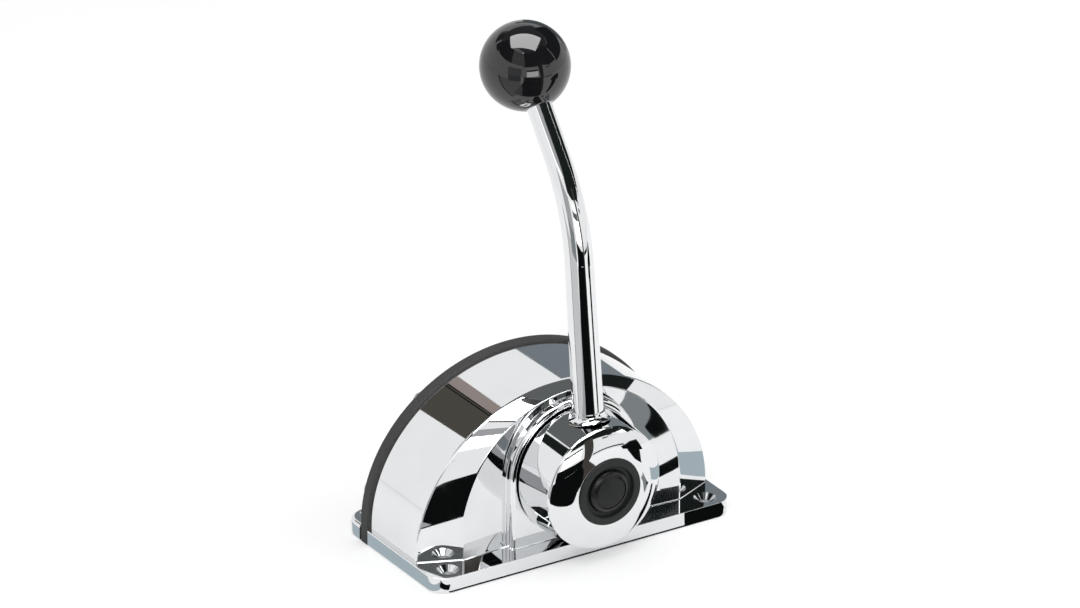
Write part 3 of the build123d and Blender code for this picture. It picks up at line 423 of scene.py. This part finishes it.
bm = bmesh.new()
edge = flange_outline(bm, strip_rear, flange_rear, rear_corner)
bm.edges.new((edge[-1], edge[0]))
made = bmesh.ops.extrude_face_region(bm, geom=[bm.faces.new(edge)])["geom"]
under = [g for g in made if isinstance(g, bmesh.types.BMVert)]
bmesh.ops.translate(bm, verts=under, vec=(0, 0, -flange_top))
closed(bm)
flange_rim = [e for e in bm.edges if lies_at(e, 2, flange_top) and not lies_at(e, 1, strip_rear)]
rounded(bm, flange_rim, flange_round, 6)
bm = bolt_holes_cut(bm, bolt_y)
lip_out = within(drum, wall + lip_gap)
lip_in = within(lip_out, lip_wall)
lip_rear, lip_front = strip_rear + slack, seam_y - lip_reach
arch_skin(bm, [(lip_in, lip_rear), (lip_in, lip_front), (lip_out, lip_front), (lip_out, lip_rear)], 0.0)
bm.from_mesh(held)
bpy.data.meshes.remove(held)
cover = piece("back_cover", bm, "base", ["rear_cover"], cover_chrome)

# --- Lever hub -----------------------------------------------------------------------------------
# A turned and polished casting: a skirt that hides the bearing, a domed face round the button and a
# neck that holds the lever's rod. A grub screw underneath clamps it to the shaft.

hub_rear, skirt_front, hub_face = -0.0408, -0.0678, -0.0736
skirt_radius, skirt_front_radius = 0.0380, 0.0359
dome_y, dome_radius, face_radius = -0.07341, 0.02907, 0.0202
dome_bevel = 86                                   # per cent of the faces on both sides of the dome's ring
skirt_round, rear_round, mouth_round = 0.0010, 0.0006, 0.0003
button_bore, button_floor = 0.0150, -0.0584
bezel_bore, bezel_floor = 0.01945, -0.0694
cavity_radius, cavity_floor, core_radius = 0.0330, -0.0573, 0.0130
lean = math.radians(6.2)                          # of the rod, towards the rear
rod_start_y = -0.0557
neck_radius, neck_top = 0.0094, 0.0404            # the neck's end is that far along the rod's axis
neck_fillet, least_fillet, fillet_reach, fillet_steps = 0.0030, 0.0008, 0.0107, 12


def turned(bm, outline, steps=160):
    """Solid turned about the shaft from (y, radius) points."""
    verts = [bm.verts.new((0, y, shaft_z + r)) for y, r in outline]
    edges = [bm.edges.new(pair) for pair in zip(verts, verts[1:])]
    bmesh.ops.spin(bm, geom=verts + edges, cent=(0, 0, shaft_z), axis=(0, 1, 0), dvec=(0, 0, 0),
                   angle=math.tau, steps=steps, use_merge=True, use_duplicate=False)
    closed(bm)


def ring_edges(bm, y, radius, slack=2e-5):
    """Edges of the circle at that y and distance from the shaft."""
    def on(v):
        return abs(v.co.y - y) < slack and abs(math.hypot(v.co.x, v.co.z - shaft_z) - radius) < slack
    return [e for e in bm.edges if on(e.verts[0]) and on(e.verts[1])]


rod_dir = Vector((0, math.sin(lean), math.cos(lean)))
rod_side = Vector((0, math.cos(lean), -math.sin(lean)))
rod_start = Vector((0, rod_start_y, shaft_z))


def on_skirt(offset):
    """Distance along the rod's axis at which a line beside it meets the hub's skirt."""
    slope = (skirt_radius - skirt_front_radius) / (hub_rear - skirt_front)
    s = skirt_radius
    for _ in range(12):
        p = rod_start + rod_dir * s + offset
        radius = skirt_radius + (p.y - hub_rear) * slope
        s = math.sqrt(max(radius ** 2 - p.x ** 2, 1e-9)) / rod_dir.z
    return s


bm = bmesh.new()
turned(bm, [(button_floor, 0), (button_floor, button_bore), (bezel_floor, button_bore),
            (bezel_floor, bezel_bore), (hub_face, bezel_bore), (hub_face, face_radius), (dome_y, dome_radius),
            (skirt_front, skirt_front_radius), (hub_rear, skirt_radius), (hub_rear, cavity_radius),
            (cavity_floor, cavity_radius), (cavity_floor, core_radius), (hub_rear, core_radius),
            (hub_rear, 0)])
bmesh.ops.bevel(bm, geom=ring_edges(bm, dome_y, dome_radius), offset=dome_bevel, offset_type="PERCENT",
                segments=14, profile=0.5, affect="EDGES", clamp_overlap=True, material=-1)
rounded(bm, ring_edges(bm, skirt_front, skirt_front_radius), skirt_round, 6)
rounded(bm, ring_edges(bm, hub_rear, skirt_radius), rear_round, 3)
rounded(bm, ring_edges(bm, hub_face, bezel_bore), mouth_round, 2)

# the neck flares down on to the skirt, less towards the rear, where the skirt soon ends
ring = bmesh.ops.create_circle(bm, segments=96, radius=neck_radius)["verts"]
ways = [(Vector((v.co.x, 0, 0)) + rod_side * v.co.y) / neck_radius for v in ring]
for v, way in zip(ring, ways):
    v.co = rod_start + rod_dir * neck_top + way * neck_radius
bm.faces.new(ring)
for k in range(fillet_steps + 1):
    part = math.radians(90) * k / fillet_steps
    fresh = {tuple(v.co): v for v in extruded(bm, row_edges(ring))}
    ring = [fresh[tuple(v.co)] for v in ring]
    for v, way in zip(ring, ways):
        spread = neck_fillet
        if way.y > 0.01:                          # towards the rear
            spread = min(neck_fillet, max(fillet_reach / way.y - neck_radius, least_fillet))
        beside = way * (neck_radius + spread * (1 - math.cos(part)))
        height = neck_fillet * (1 - math.sin(part))
        v.co = rod_start + rod_dir * (on_skirt(beside) + height) + beside
hub = piece("hub", bm, "lever", ["lever_hub"], chrome, sharp=38.0)

# --- Lever rod -----------------------------------------------------------------------------------
# A steel bar turned to a slight taper, bent once and chromed to a mirror. Its lower spigot is fixed
# in the hub's neck and its upper one is screwed into the knob.

lower_length, upper_length = 0.1555, 0.0842       # from the hub to the bend's corner, and on to the ball
bend_radius, bend = 0.1070, math.radians(32.0)
ball_flat = 0.02355                               # from the ball's centre to the flat under it
rod_foot = 0.0398                                 # the rod's lower end, along its axis
chamfer = ((0.0082, 0.0), (0.00861, 0.0002), (0.0087, 0.0005))     # radius, and rise from the one before
radius_below_bend, radius_above_bend, tip_radius = 0.0081, 0.00725, 0.00715
rod_chrome = finish("chromed rod", polish_marks, (0.82, 0.83, 0.84), scale=40.0, roughness=(0.012, 0.035),
                    metallic=1.0, bump=0.02)


def pull(bm, ring, grow, move=None, about=None, angle=0.0):
    """The ring of edges extruded on, then moved or turned, and scaled about its own centre."""
    new = extruded(bm, row_edges(ring))
    if about is not None:
        bmesh.ops.rotate(bm, verts=new, cent=about, matrix=Matrix.Rotation(angle, 3, "X"))
    if move is not None:
        bmesh.ops.translate(bm, verts=new, vec=move)
    middle = sum((v.co for v in new), Vector()) / len(new)
    for v in new:
        v.co = middle + (v.co - middle) * grow
    return new


def taper(first, last, steps):
    """How much each step of an even taper scales the radius."""
    radii = [first + (last - first) * k / steps for k in range(steps + 1)]
    return [after / before for before, after in zip(radii, radii[1:])]


bend_reach = bend_radius * math.tan(bend / 2)
bend_from = lower_length - bend_reach
top_dir = Vector((0, math.sin(lean + bend), math.cos(lean + bend)))
bm = bmesh.new()
ring = bmesh.ops.create_circle(bm, segments=128, radius=chamfer[0][0])["verts"]
bmesh.ops.rotate(bm, verts=ring, cent=(0, 0, 0), matrix=Matrix.Rotation(-lean, 3, "X"))
bmesh.ops.translate(bm, verts=ring, vec=rod_start + rod_dir * rod_foot)
bm.faces.new(ring)
for (before, _), (after, rise) in zip(chamfer, chamfer[1:]):
    ring = pull(bm, ring, after / before, move=rod_dir * rise)
straight = taper(chamfer[-1][0], radius_below_bend, 12)
straight_run = bend_from - rod_foot - sum(rise for _, rise in chamfer)
for grow in straight:
    ring = pull(bm, ring, grow, move=rod_dir * (straight_run / len(straight)))
bend_centre = rod_start + rod_dir * bend_from + rod_side * bend_radius
curve = taper(radius_below_bend, radius_above_bend, 32)
for grow in curve:
    ring = pull(bm, ring, grow, about=bend_centre, angle=-bend / len(curve))
upper = taper(radius_above_bend, tip_radius, 4)
upper_run = upper_length - bend_reach - ball_flat
for grow in upper:
    ring = pull(bm, ring, grow, move=top_dir * (upper_run / len(upper)))
bm.faces.new(ring)
closed(bm)
rod = piece("bent_rod", bm, "lever", ["lever_rod"], rod_chrome)

# --- Ball knob -----------------------------------------------------------------------------------
# A moulded phenolic ball, buffed to a high gloss, with a small flat where it meets the rod. It is
# screwed on by a brass insert moulded into it.

ball_radius, flat_round = 0.0250, 0.0004
gloss = surface_noise("buffed gloss", patch_detail=5.0, wave_scale=35.0, wave_detail=1.0)
black_gloss = finish("black phenolic", gloss, (0.006, 0.006, 0.007), second=(0.010, 0.010, 0.011),
                     scale=150.0, roughness=(0.02, 0.06), bump=0.02, IOR=1.65)

bm = bmesh.new()
bmesh.ops.create_uvsphere(bm, u_segments=128, v_segments=96, radius=ball_radius)
cut = bmesh.ops.bisect_plane(bm, geom=bm.verts[:] + bm.edges[:] + bm.faces[:], plane_co=(0, 0, -ball_flat),
                             plane_no=(0, 0, -1), clear_outer=True)
rim = [g for g in cut["geom_cut"] if isinstance(g, bmesh.types.BMEdge)]
bmesh.ops.holes_fill(bm, edges=rim, sides=0)
rounded(bm, [e for e in bm.edges if lies_at(e, 2, -ball_flat)], flat_round, 3)
bmesh.ops.rotate(bm, verts=bm.verts, cent=(0, 0, 0), matrix=Matrix.Rotation(-lean - bend, 3, "X"))
bmesh.ops.translate(bm, verts=bm.verts, vec=rod_start + rod_dir * lower_length + top_dir * upper_length)
closed(bm)
knob = piece("knob", bm, "lever", ["ball_knob"], black_gloss, even=False)

# --- Button bezel --------------------------------------------------------------------------------
# A moulded rubber ring pressed into the hub's counterbore. Its inner lip keeps the button in.

bezel_rear, bezel_front, bezel_radius = -0.0695, -0.0746, 0.0194
mouth_radius = 0.0152                             # slightly wider than the button's bore behind it
keeper_rear, keeper_front, keeper_radius = -0.0706, -0.0721, 0.0127
outer_round, inner_round = 0.0005, 0.0007
bezel_rubber = finish("bezel rubber", rubber_grain, (0.012, 0.014, 0.014), second=(0.020, 0.022, 0.022),
                      scale=600.0, roughness=(0.40, 0.60), bump=0.2, Specular_IOR_Level=0.30)

bm = bmesh.new()
turned(bm, [(bezel_rear, button_bore), (keeper_rear, button_bore), (keeper_rear, keeper_radius),
            (keeper_front, keeper_radius), (keeper_front, button_bore), (bezel_front, mouth_radius),
            (bezel_front, bezel_radius), (bezel_rear, bezel_radius), (bezel_rear, button_bore)])
rounded(bm, ring_edges(bm, bezel_front, bezel_radius), outer_round, 4)
rounded(bm, ring_edges(bm, bezel_front, mouth_radius), inner_round, 4)
bezel = piece("bezel_ring", bm, "lever", ["button_bezel"], bezel_rubber)

# --- Warm-up button ------------------------------------------------------------------------------
# A moulded rubber cap over a flange, pressed in to free the shift drive. A plain disc is set into
# its domed face, with a fine gap round it.

seat_y, seat_radius = -0.0740, 0.0096             # the recess for the disc
crown, brow, cap_side = (-0.0750, 0.01035), (-0.0741, 0.0119), (-0.0728, 0.0124)   # y and radius
crown_front, cap_round = -0.07515, 0.0005
flange_y, button_rear, button_flange = -0.0703, -0.0685, 0.0146
button_rubber = finish("button rubber", rubber_grain, (0.007, 0.007, 0.008), second=(0.012, 0.012, 0.013),
                       scale=500.0, roughness=(0.24, 0.36), bump=0.12, Specular_IOR_Level=0.35)

bm = bmesh.new()
turned(bm, [(seat_y, 0), (seat_y, seat_radius), (crown_front, seat_radius), crown, brow, cap_side,
            (flange_y, cap_side[1]), (flange_y, button_flange), (button_rear, button_flange),
            (button_rear, 0)])
rounded(bm, [e for ring in (brow, crown, cap_side) for e in ring_edges(bm, *ring)], cap_round, 4)
button = piece("push_button", bm, "button", ["warm_up_button"], button_rubber)

disc_radius, disc_side, disc_front = 0.0094, -0.0747, -0.0752
disc_brow, disc_round = (-0.0750, 0.0088), 0.0004
badge_plastic = finish("satin disc", gloss, (0.007, 0.008, 0.008), second=(0.011, 0.012, 0.012),
                       scale=250.0, roughness=(0.16, 0.26), bump=0.05, Specular_IOR_Level=0.25)

bm = bmesh.new()
turned(bm, [(seat_y, 0), (seat_y, disc_radius), (disc_side, disc_radius), disc_brow, (disc_front, 0)])
rounded(bm, ring_edges(bm, *disc_brow), disc_round, 3)
badge = piece("button_disc", bm, "button", ["button_badge"], badge_plastic)

# --- Mechanism, as it comes from the frame --------------------------------------------------------
# Steel, brass and bronze pieces inside the drum, seen only from below: turned, punched or sintered,
# then zinc plated, oiled or greased.

metals = {                                        # colour, and the roughness of its smooth and dull spots
    "stainless": ((0.60, 0.60, 0.61), (0.20, 0.35)),
    "steel": ((0.50, 0.51, 0.53), (0.22, 0.40)),
    "gear_steel": ((0.36, 0.37, 0.39), (0.28, 0.50)),
    "spring_steel": ((0.30, 0.30, 0.32), (0.25, 0.40)),
    "black_steel": ((0.06, 0.06, 0.065), (0.35, 0.50)),
    "zinc_plate": ((0.62, 0.63, 0.60), (0.30, 0.50)),
    "brass": ((0.70, 0.52, 0.22), (0.18, 0.35)),
    "bronze": ((0.50, 0.33, 0.16), (0.35, 0.55)),
}
metal_marks = surface_noise("machining marks", patch_detail=5.0, wave_scale=900.0, wave_detail=2.0)
inside_finishes = {
    slot: finish(slot.replace("_", " "), metal_marks, color, scale=400.0, roughness=roughness,
                 metallic=1.0, bump=0.15, relief=0.00005)
    for slot, (color, roughness) in metals.items()
}
inside_finishes["friction_lining"] = finish("woven lining", rubber_grain, (0.16, 0.10, 0.07), scale=500.0,
                                            roughness=(0.7, 0.9), bump=0.4)
slot_of = {s["node"]: s["material_slot"] for s in frame["record"]["subparts"]}
for name, obj in frame["nodes"].items():
    if slot_of[name] in inside_finishes:
        obj.data.materials.clear()
        obj.data.materials.append(inside_finishes[slot_of[name]])

# --- Studio --------------------------------------------------------------------------------------
# A pale floor in a white room with two soft lamps. The polished metal also sees a bright window in
# front, the dark room above and below it, and a few darker stands and walls round about.

room_seen, room_light = 1.0, 0.75                 # the room's level to the eye and metal, and as light
floor_half, floor_z, floor_lift = 4.0, -0.0002, 0.20


def seen_by_eye_or_metal(nodes, link):
    """Value that is 1 for camera, glossy and transmission rays and 0 for the light on surfaces."""
    path = nodes.new("ShaderNodeLightPath")
    value = path.outputs["Is Camera Ray"]
    for ray in ("Is Glossy Ray", "Is Transmission Ray"):
        either = nodes.new("ShaderNodeMath")
        either.operation = "MAXIMUM"
        link(value, either.inputs[0])
        link(path.outputs[ray], either.inputs[1])
        value = either.outputs[0]
    return value


world = bpy.data.worlds.new("room")
bpy.context.scene.world = world
world.use_nodes = True
n, link = world.node_tree.nodes, world.node_tree.links.new
seen, lit = n["Background"], n.new("ShaderNodeBackground")
for shader, level in ((seen, room_seen), (lit, room_light)):
    shader.inputs["Color"].default_value = (1, 1, 1, 1)
    shader.inputs["Strength"].default_value = level
mix = n.new("ShaderNodeMixShader")
link(seen_by_eye_or_metal(n, link), mix.inputs["Fac"])
link(lit.outputs[0], mix.inputs[1])
link(seen.outputs[0], mix.inputs[2])
link(mix.outputs[0], n["World Output"].inputs["Surface"])


def flat_paint(name, color, glow, strength=1.0, roughness=1.0):
    """Dull paint without a shine, with a glow of its own."""
    mat = bpy.data.materials.new(name)
    mat.use_nodes = True
    shader = mat.node_tree.nodes["Principled BSDF"]
    shader.inputs["Base Color"].default_value = (*color, 1)
    shader.inputs["Roughness"].default_value = roughness
    shader.inputs["Specular IOR Level"].default_value = 0.0
    shader.inputs["Emission Color"].default_value = (*glow, 1)
    shader.inputs["Emission Strength"].default_value = strength
    return mat


floor_paint = flat_paint("pale floor", (0.86, 0.86, 0.86), (1, 1, 1), strength=0.0, roughness=0.9)
n, link = floor_paint.node_tree.nodes, floor_paint.node_tree.links.new
lift = n.new("ShaderNodeMath")
lift.operation = "MULTIPLY"
lift.inputs[1].default_value = floor_lift
link(seen_by_eye_or_metal(n, link), lift.inputs[0])
link(lift.outputs[0], n["Principled BSDF"].inputs["Emission Strength"])


def studio_sheet(name, rows, material):
    """Sheet between two rows of corners that are given as places."""
    bm = bmesh.new()
    edges = []
    for row in rows:
        verts = [bm.verts.new(place) for place in row]
        edges += [bm.edges.new(pair) for pair in zip(verts, verts[1:])]
    bmesh.ops.bridge_loops(bm, edges=edges)
    bmesh.ops.recalc_face_normals(bm, faces=bm.faces)
    mesh = bpy.data.meshes.new(name)
    bm.to_mesh(mesh)
    bm.free()
    obj = bpy.data.objects.new(name, mesh)
    bpy.context.scene.collection.objects.link(obj)
    mesh.materials.append(material)
    return obj


sides = (-floor_half, floor_half)
studio_sheet("floor", [[(x, y, floor_z) for x in sides] for y in sides], floor_paint)


def card_paint(name, color, strength=1.0):
    return flat_paint(name, (0, 0, 0), color, strength)


def card(name, rows, material):
    """Studio card that only reflections see."""
    obj = studio_sheet(name, rows, material)
    for kind in ("camera", "diffuse", "shadow", "transmission"):
        setattr(obj, "visible_" + kind, False)


def around(distance, spots):
    """Places at a distance from the hub: direction (0 towards -Y, 90 towards +X) and height."""
    return [(math.sin(math.radians(a)) * distance, hub_face - math.cos(math.radians(a)) * distance, z)
            for a, z in spots]


def wall_card(name, distance, directions, low, high, material):
    """Upright card round the hub between two heights."""
    card(name, [around(distance, [(a, z) for a in directions]) for z in (low, high)], material)


def level_card(name, z, corners, material):
    """Level card with four corners in order."""
    a, b, c, d = [(x, y, z) for x, y in corners]
    card(name, ([a, b], [d, c]), material)


black = card_paint("black card", (0.004, 0.005, 0.005))
dark = card_paint("dark card", (0.012, 0.016, 0.015))
roof_shade = card_paint("roof shade", (0.13, 0.14, 0.14))
stand_brown = card_paint("stand card", (0.060, 0.053, 0.048))
olive = card_paint("olive card", (0.080, 0.074, 0.062))
rose = card_paint("rose card", (0.33, 0.28, 0.26))
slate = card_paint("slate card", (0.20, 0.23, 0.25))
shade = card_paint("shade card", (0.24, 0.26, 0.27))
dim = card_paint("dim card", (0.42, 0.42, 0.43))
grey = card_paint("grey card", (0.66, 0.66, 0.66))
blue = card_paint("blue card", (0.44, 0.52, 0.56))
window_light = card_paint("window card", (1.0, 1.0, 1.0), 4.5)
roof_light = card_paint("roof window card", (1.0, 1.0, 1.0), 6.5)
side_light = card_paint("side window card", (1.0, 1.0, 1.0), 1.3)
on_floor, over_card, by_foot = 0.0004, 0.0006, 0.0003      # heights of the cards that lie on the ground

# in front: the end of the white paper, the dark room beyond it, a window with a bar and a stand
front_wall, window_directions, stand_distance, stand_top = 0.850, (-30, -20, -10, 1), 0.845, 0.720
dark_top = ((-38, 0.195), (-28, 0.180), (-16, 0.160), (-4, 0.138), (8, 0.130))
level_card("dark_ground", on_floor, ((-0.210, -0.105), (0.045, -0.175), (0.120, -0.925), (-0.590, -0.850)),
           black)
level_card("grey_corner", over_card, ((-0.235, -0.100), (-0.130, -0.135), (-0.260, -0.320), (-0.400, -0.450)),
           dim)
card("dark_wall", [around(0.855, [(a, on_floor) for a, _ in dark_top]), around(0.855, dark_top)], black)
wall_card("grey_wall", 0.900, (-78, -62, -46), on_floor, 0.220, shade)
wall_card("grey_wall_above", 0.900, (-80, -62, -44), 0.220, 0.540, dim)
wall_card("front_window", front_wall, window_directions, 0.190, 0.398, window_light)
wall_card("window_bar", front_wall, window_directions, 0.398, 0.466, roof_shade)
wall_card("upper_window", front_wall, window_directions, 0.466, 0.560, side_light)
level_card("stand_on_ground", on_floor, ((0.045, -0.175), (0.060, -0.175), (0.215, -0.900), (0.120, -0.925)),
           stand_brown)
card("front_stand", [around(stand_distance, [(8, on_floor), (15, on_floor)]),
                     around(stand_distance, [(1, stand_top), (15, stand_top)])], stand_brown)

# above: the dark room, lower on the right and close by on the left, and a bright window in its roof
room_top, roof_z, roof_window_z = 1.60, 1.61, 1.50
low_edge = ((-40, 0.60), (-18, 0.60), (-2, 0.60), (14, 0.60), (30, 0.52), (46, 0.50), (60, 0.50))
card("dark_room", [around(0.860, low_edge), around(0.860, [(a, room_top) for a, _ in low_edge])], dark)
wall_card("dark_right", 1.350, (60, 78, 96, 114, 132), 0.520, room_top, dark)
wall_card("dark_back", 1.500, (132, 152, 172, 192, 212, 232), 1.450, room_top, roof_shade)
for name, directions, paint in (("dark_left", (-150, -128, -106, -84), dark),
                                ("dim_left", (-84, -62, -40), dim)):
    card(name, [around(0.300, [(a, 0.420) for a in directions]),
                around(0.900, [(a, room_top) for a in directions])], paint)
level_card("dark_roof", roof_z, ((-0.50, -1.00), (1.30, -1.00), (1.30, 1.50), (-0.80, 1.50)), roof_shade)
level_card("roof_window", roof_window_z, ((-0.86, 0.12), (-0.30, 0.80), (0.86, -0.03), (0.20, -0.84)),
           roof_light)
# painted reflection: dark cards set so that the flange's top shows darker bands near the bolt holes and by
# the drum's foot, and a dark line
card("flange_shade", [around(front_wall, [(26.0, 0.425), (32.5, 0.412)]),
                      around(front_wall, [(26.0, 0.475), (32.5, 0.455)])], dark)
wall_card("foot_shade", front_wall, (33.5, 40.0), 0.468, 0.520, stand_brown)
card("flange_shade_line", [around(front_wall, [(32.5, 0.425), (42.0, 0.405)]),
                     around(front_wall, [(32.5, 0.432), (42.0, 0.411)])], dark)

# right: a dark bar that comes nearer on the ground, blue ground and a stand
bar_distance, bar_top = 0.630, ((38, 0.060), (50, 0.125), (62, 0.130))
level_card("bar_on_ground", on_floor, ((0.125, -0.210), (0.150, -0.195), (0.560, -0.440), (0.430, -0.560)),
           black)
card("bar_wall", [around(bar_distance, [(a, on_floor) for a, _ in bar_top]), around(bar_distance, bar_top)],
     black)
wall_card("far_rail", 0.870, (16, 24, 33, 42), 0.088, 0.122, black)
level_card("blue_ground", on_floor, ((0.118, -0.110), (0.165, -0.140), (0.175, 0.040), (0.118, 0.040)), blue)
wall_card("right_stand", 1.300, (109, 113), 0.180, 0.420, shade)

# close by, seen only in reflections: painted shade on the paper under the hub and along the flange's front
# and left side, a painted contact shadow along the flange's front foot, and a blue strip by its left side
for name, z, corners, paint in (
        ("near_shade", on_floor, ((0.078, -0.118), (0.104, -0.122), (0.100, -0.165), (0.080, -0.160)), shade),
        # painted shade: a black patch and a black streak on the paper under the hub, seen only in the chrome
        ("near_patch", 0.0008, ((0.095, -0.119), (0.104, -0.119), (0.100, -0.132), (0.093, -0.130)), black),
        ("near_streak", over_card, ((0.028, -0.060), (0.108, -0.091), (0.104, -0.099), (0.052, -0.082)),
         black),
        ("edge_shade", 0.0005, ((0.064, -0.0510), (0.100, -0.0510), (0.104, -0.0655), (0.074, -0.0670)),
         black),
        ("corner_shade", 0.0005, ((-0.099, -0.0518), (-0.088, -0.0532), (-0.085, -0.0600), (-0.104, -0.0580)),
         black),
        ("left_ground", by_foot, ((-0.0962, -0.055), (-0.1040, -0.055), (-0.1040, 0.075), (-0.0962, 0.075)),
         blue),
        # painted contact shadow: a thin black strip on the paper along the flange's front foot, seen only in
        # reflections
        ("foot_line", by_foot, ((-0.088, -0.0505), (0.094, -0.0505), (0.094, -0.0522), (-0.088, -0.0522)),
         black)):
    level_card(name, z, corners, paint)

# left and behind: grey ground, a thin stand, a bright side window, a shade, and walls with two lines
back_wall, wall_foot, wall_top = 1.500, 0.900, 1.700
grey_directions = (-102, -84, -66, -48)
card("grey_ground", [around(d, [(a, 0.0002) for a in grey_directions]) for d in (0.180, 1.400)], grey)
card("left_stand", [around(d, [(-104, z), (-101, z)]) for d, z in ((0.170, 0.0006), (1.500, 0.0010))], black)
wall_card("side_window", 1.200, (-78, -65, -52), 0.80, 1.30, side_light)
wall_card("back_shade", back_wall, (210, 220, 230), 1.020, wall_top, dark)
for name, directions, paint in (("olive_wall", (187.6, 196, 204), olive),
                                ("rose_wall", (179, 185.4), rose),
                                ("wall_lines", (185.4, 186.1), black),
                                ("wall_between", (186.1, 186.9), olive),
                                ("wall_line_two", (186.9, 187.6), black)):
    wall_card(name, back_wall, directions, wall_foot, wall_top, paint)
wall_card("slate_wall", back_wall, (118, 134, 151), on_floor, 0.800, slate)
wall_card("slate_low", back_wall, (151, 158), 0.560, 0.780, slate)

lamp_target = Vector((0, 0, 0.08))
for name, size, energy, place in (("key", 1.2, 22.0, (-1.2, -1.6, 2.2)),
                                  ("fill", 1.6, 10.0, (1.8, -1.0, 1.6))):
    lamp = bpy.data.lights.new(name, "AREA")
    lamp.shape, lamp.size, lamp.energy = "DISK", size, energy
    lamp_obj = bpy.data.objects.new(name, lamp)
    lamp_obj.location = place
    lamp_obj.rotation_euler = (lamp_target - lamp_obj.location).to_track_quat("-Z", "Y").to_euler()
    bpy.context.scene.collection.objects.link(lamp_obj)

target, distance, lens = Vector((0.020857, 0.03125, 0.113798)), 6.0, 364.3
az, el = math.radians(-31.996), math.radians(25.466)
toward = Vector((math.sin(az) * math.cos(el), -math.cos(az) * math.cos(el), math.sin(el)))
camera = bpy.data.cameras.new("camera")
camera.sensor_width, camera.lens = 36.0, lens
camera.clip_end = 100.0
camera_obj = bpy.data.objects.new("camera", camera)
camera_obj.location = target + toward * distance
camera_obj.rotation_euler = (-toward).to_track_quat("-Z", "Y").to_euler()
bpy.context.scene.collection.objects.link(camera_obj)
bpy.context.scene.camera = camera_obj
bpy.context.scene.view_settings.view_transform = "Standard"
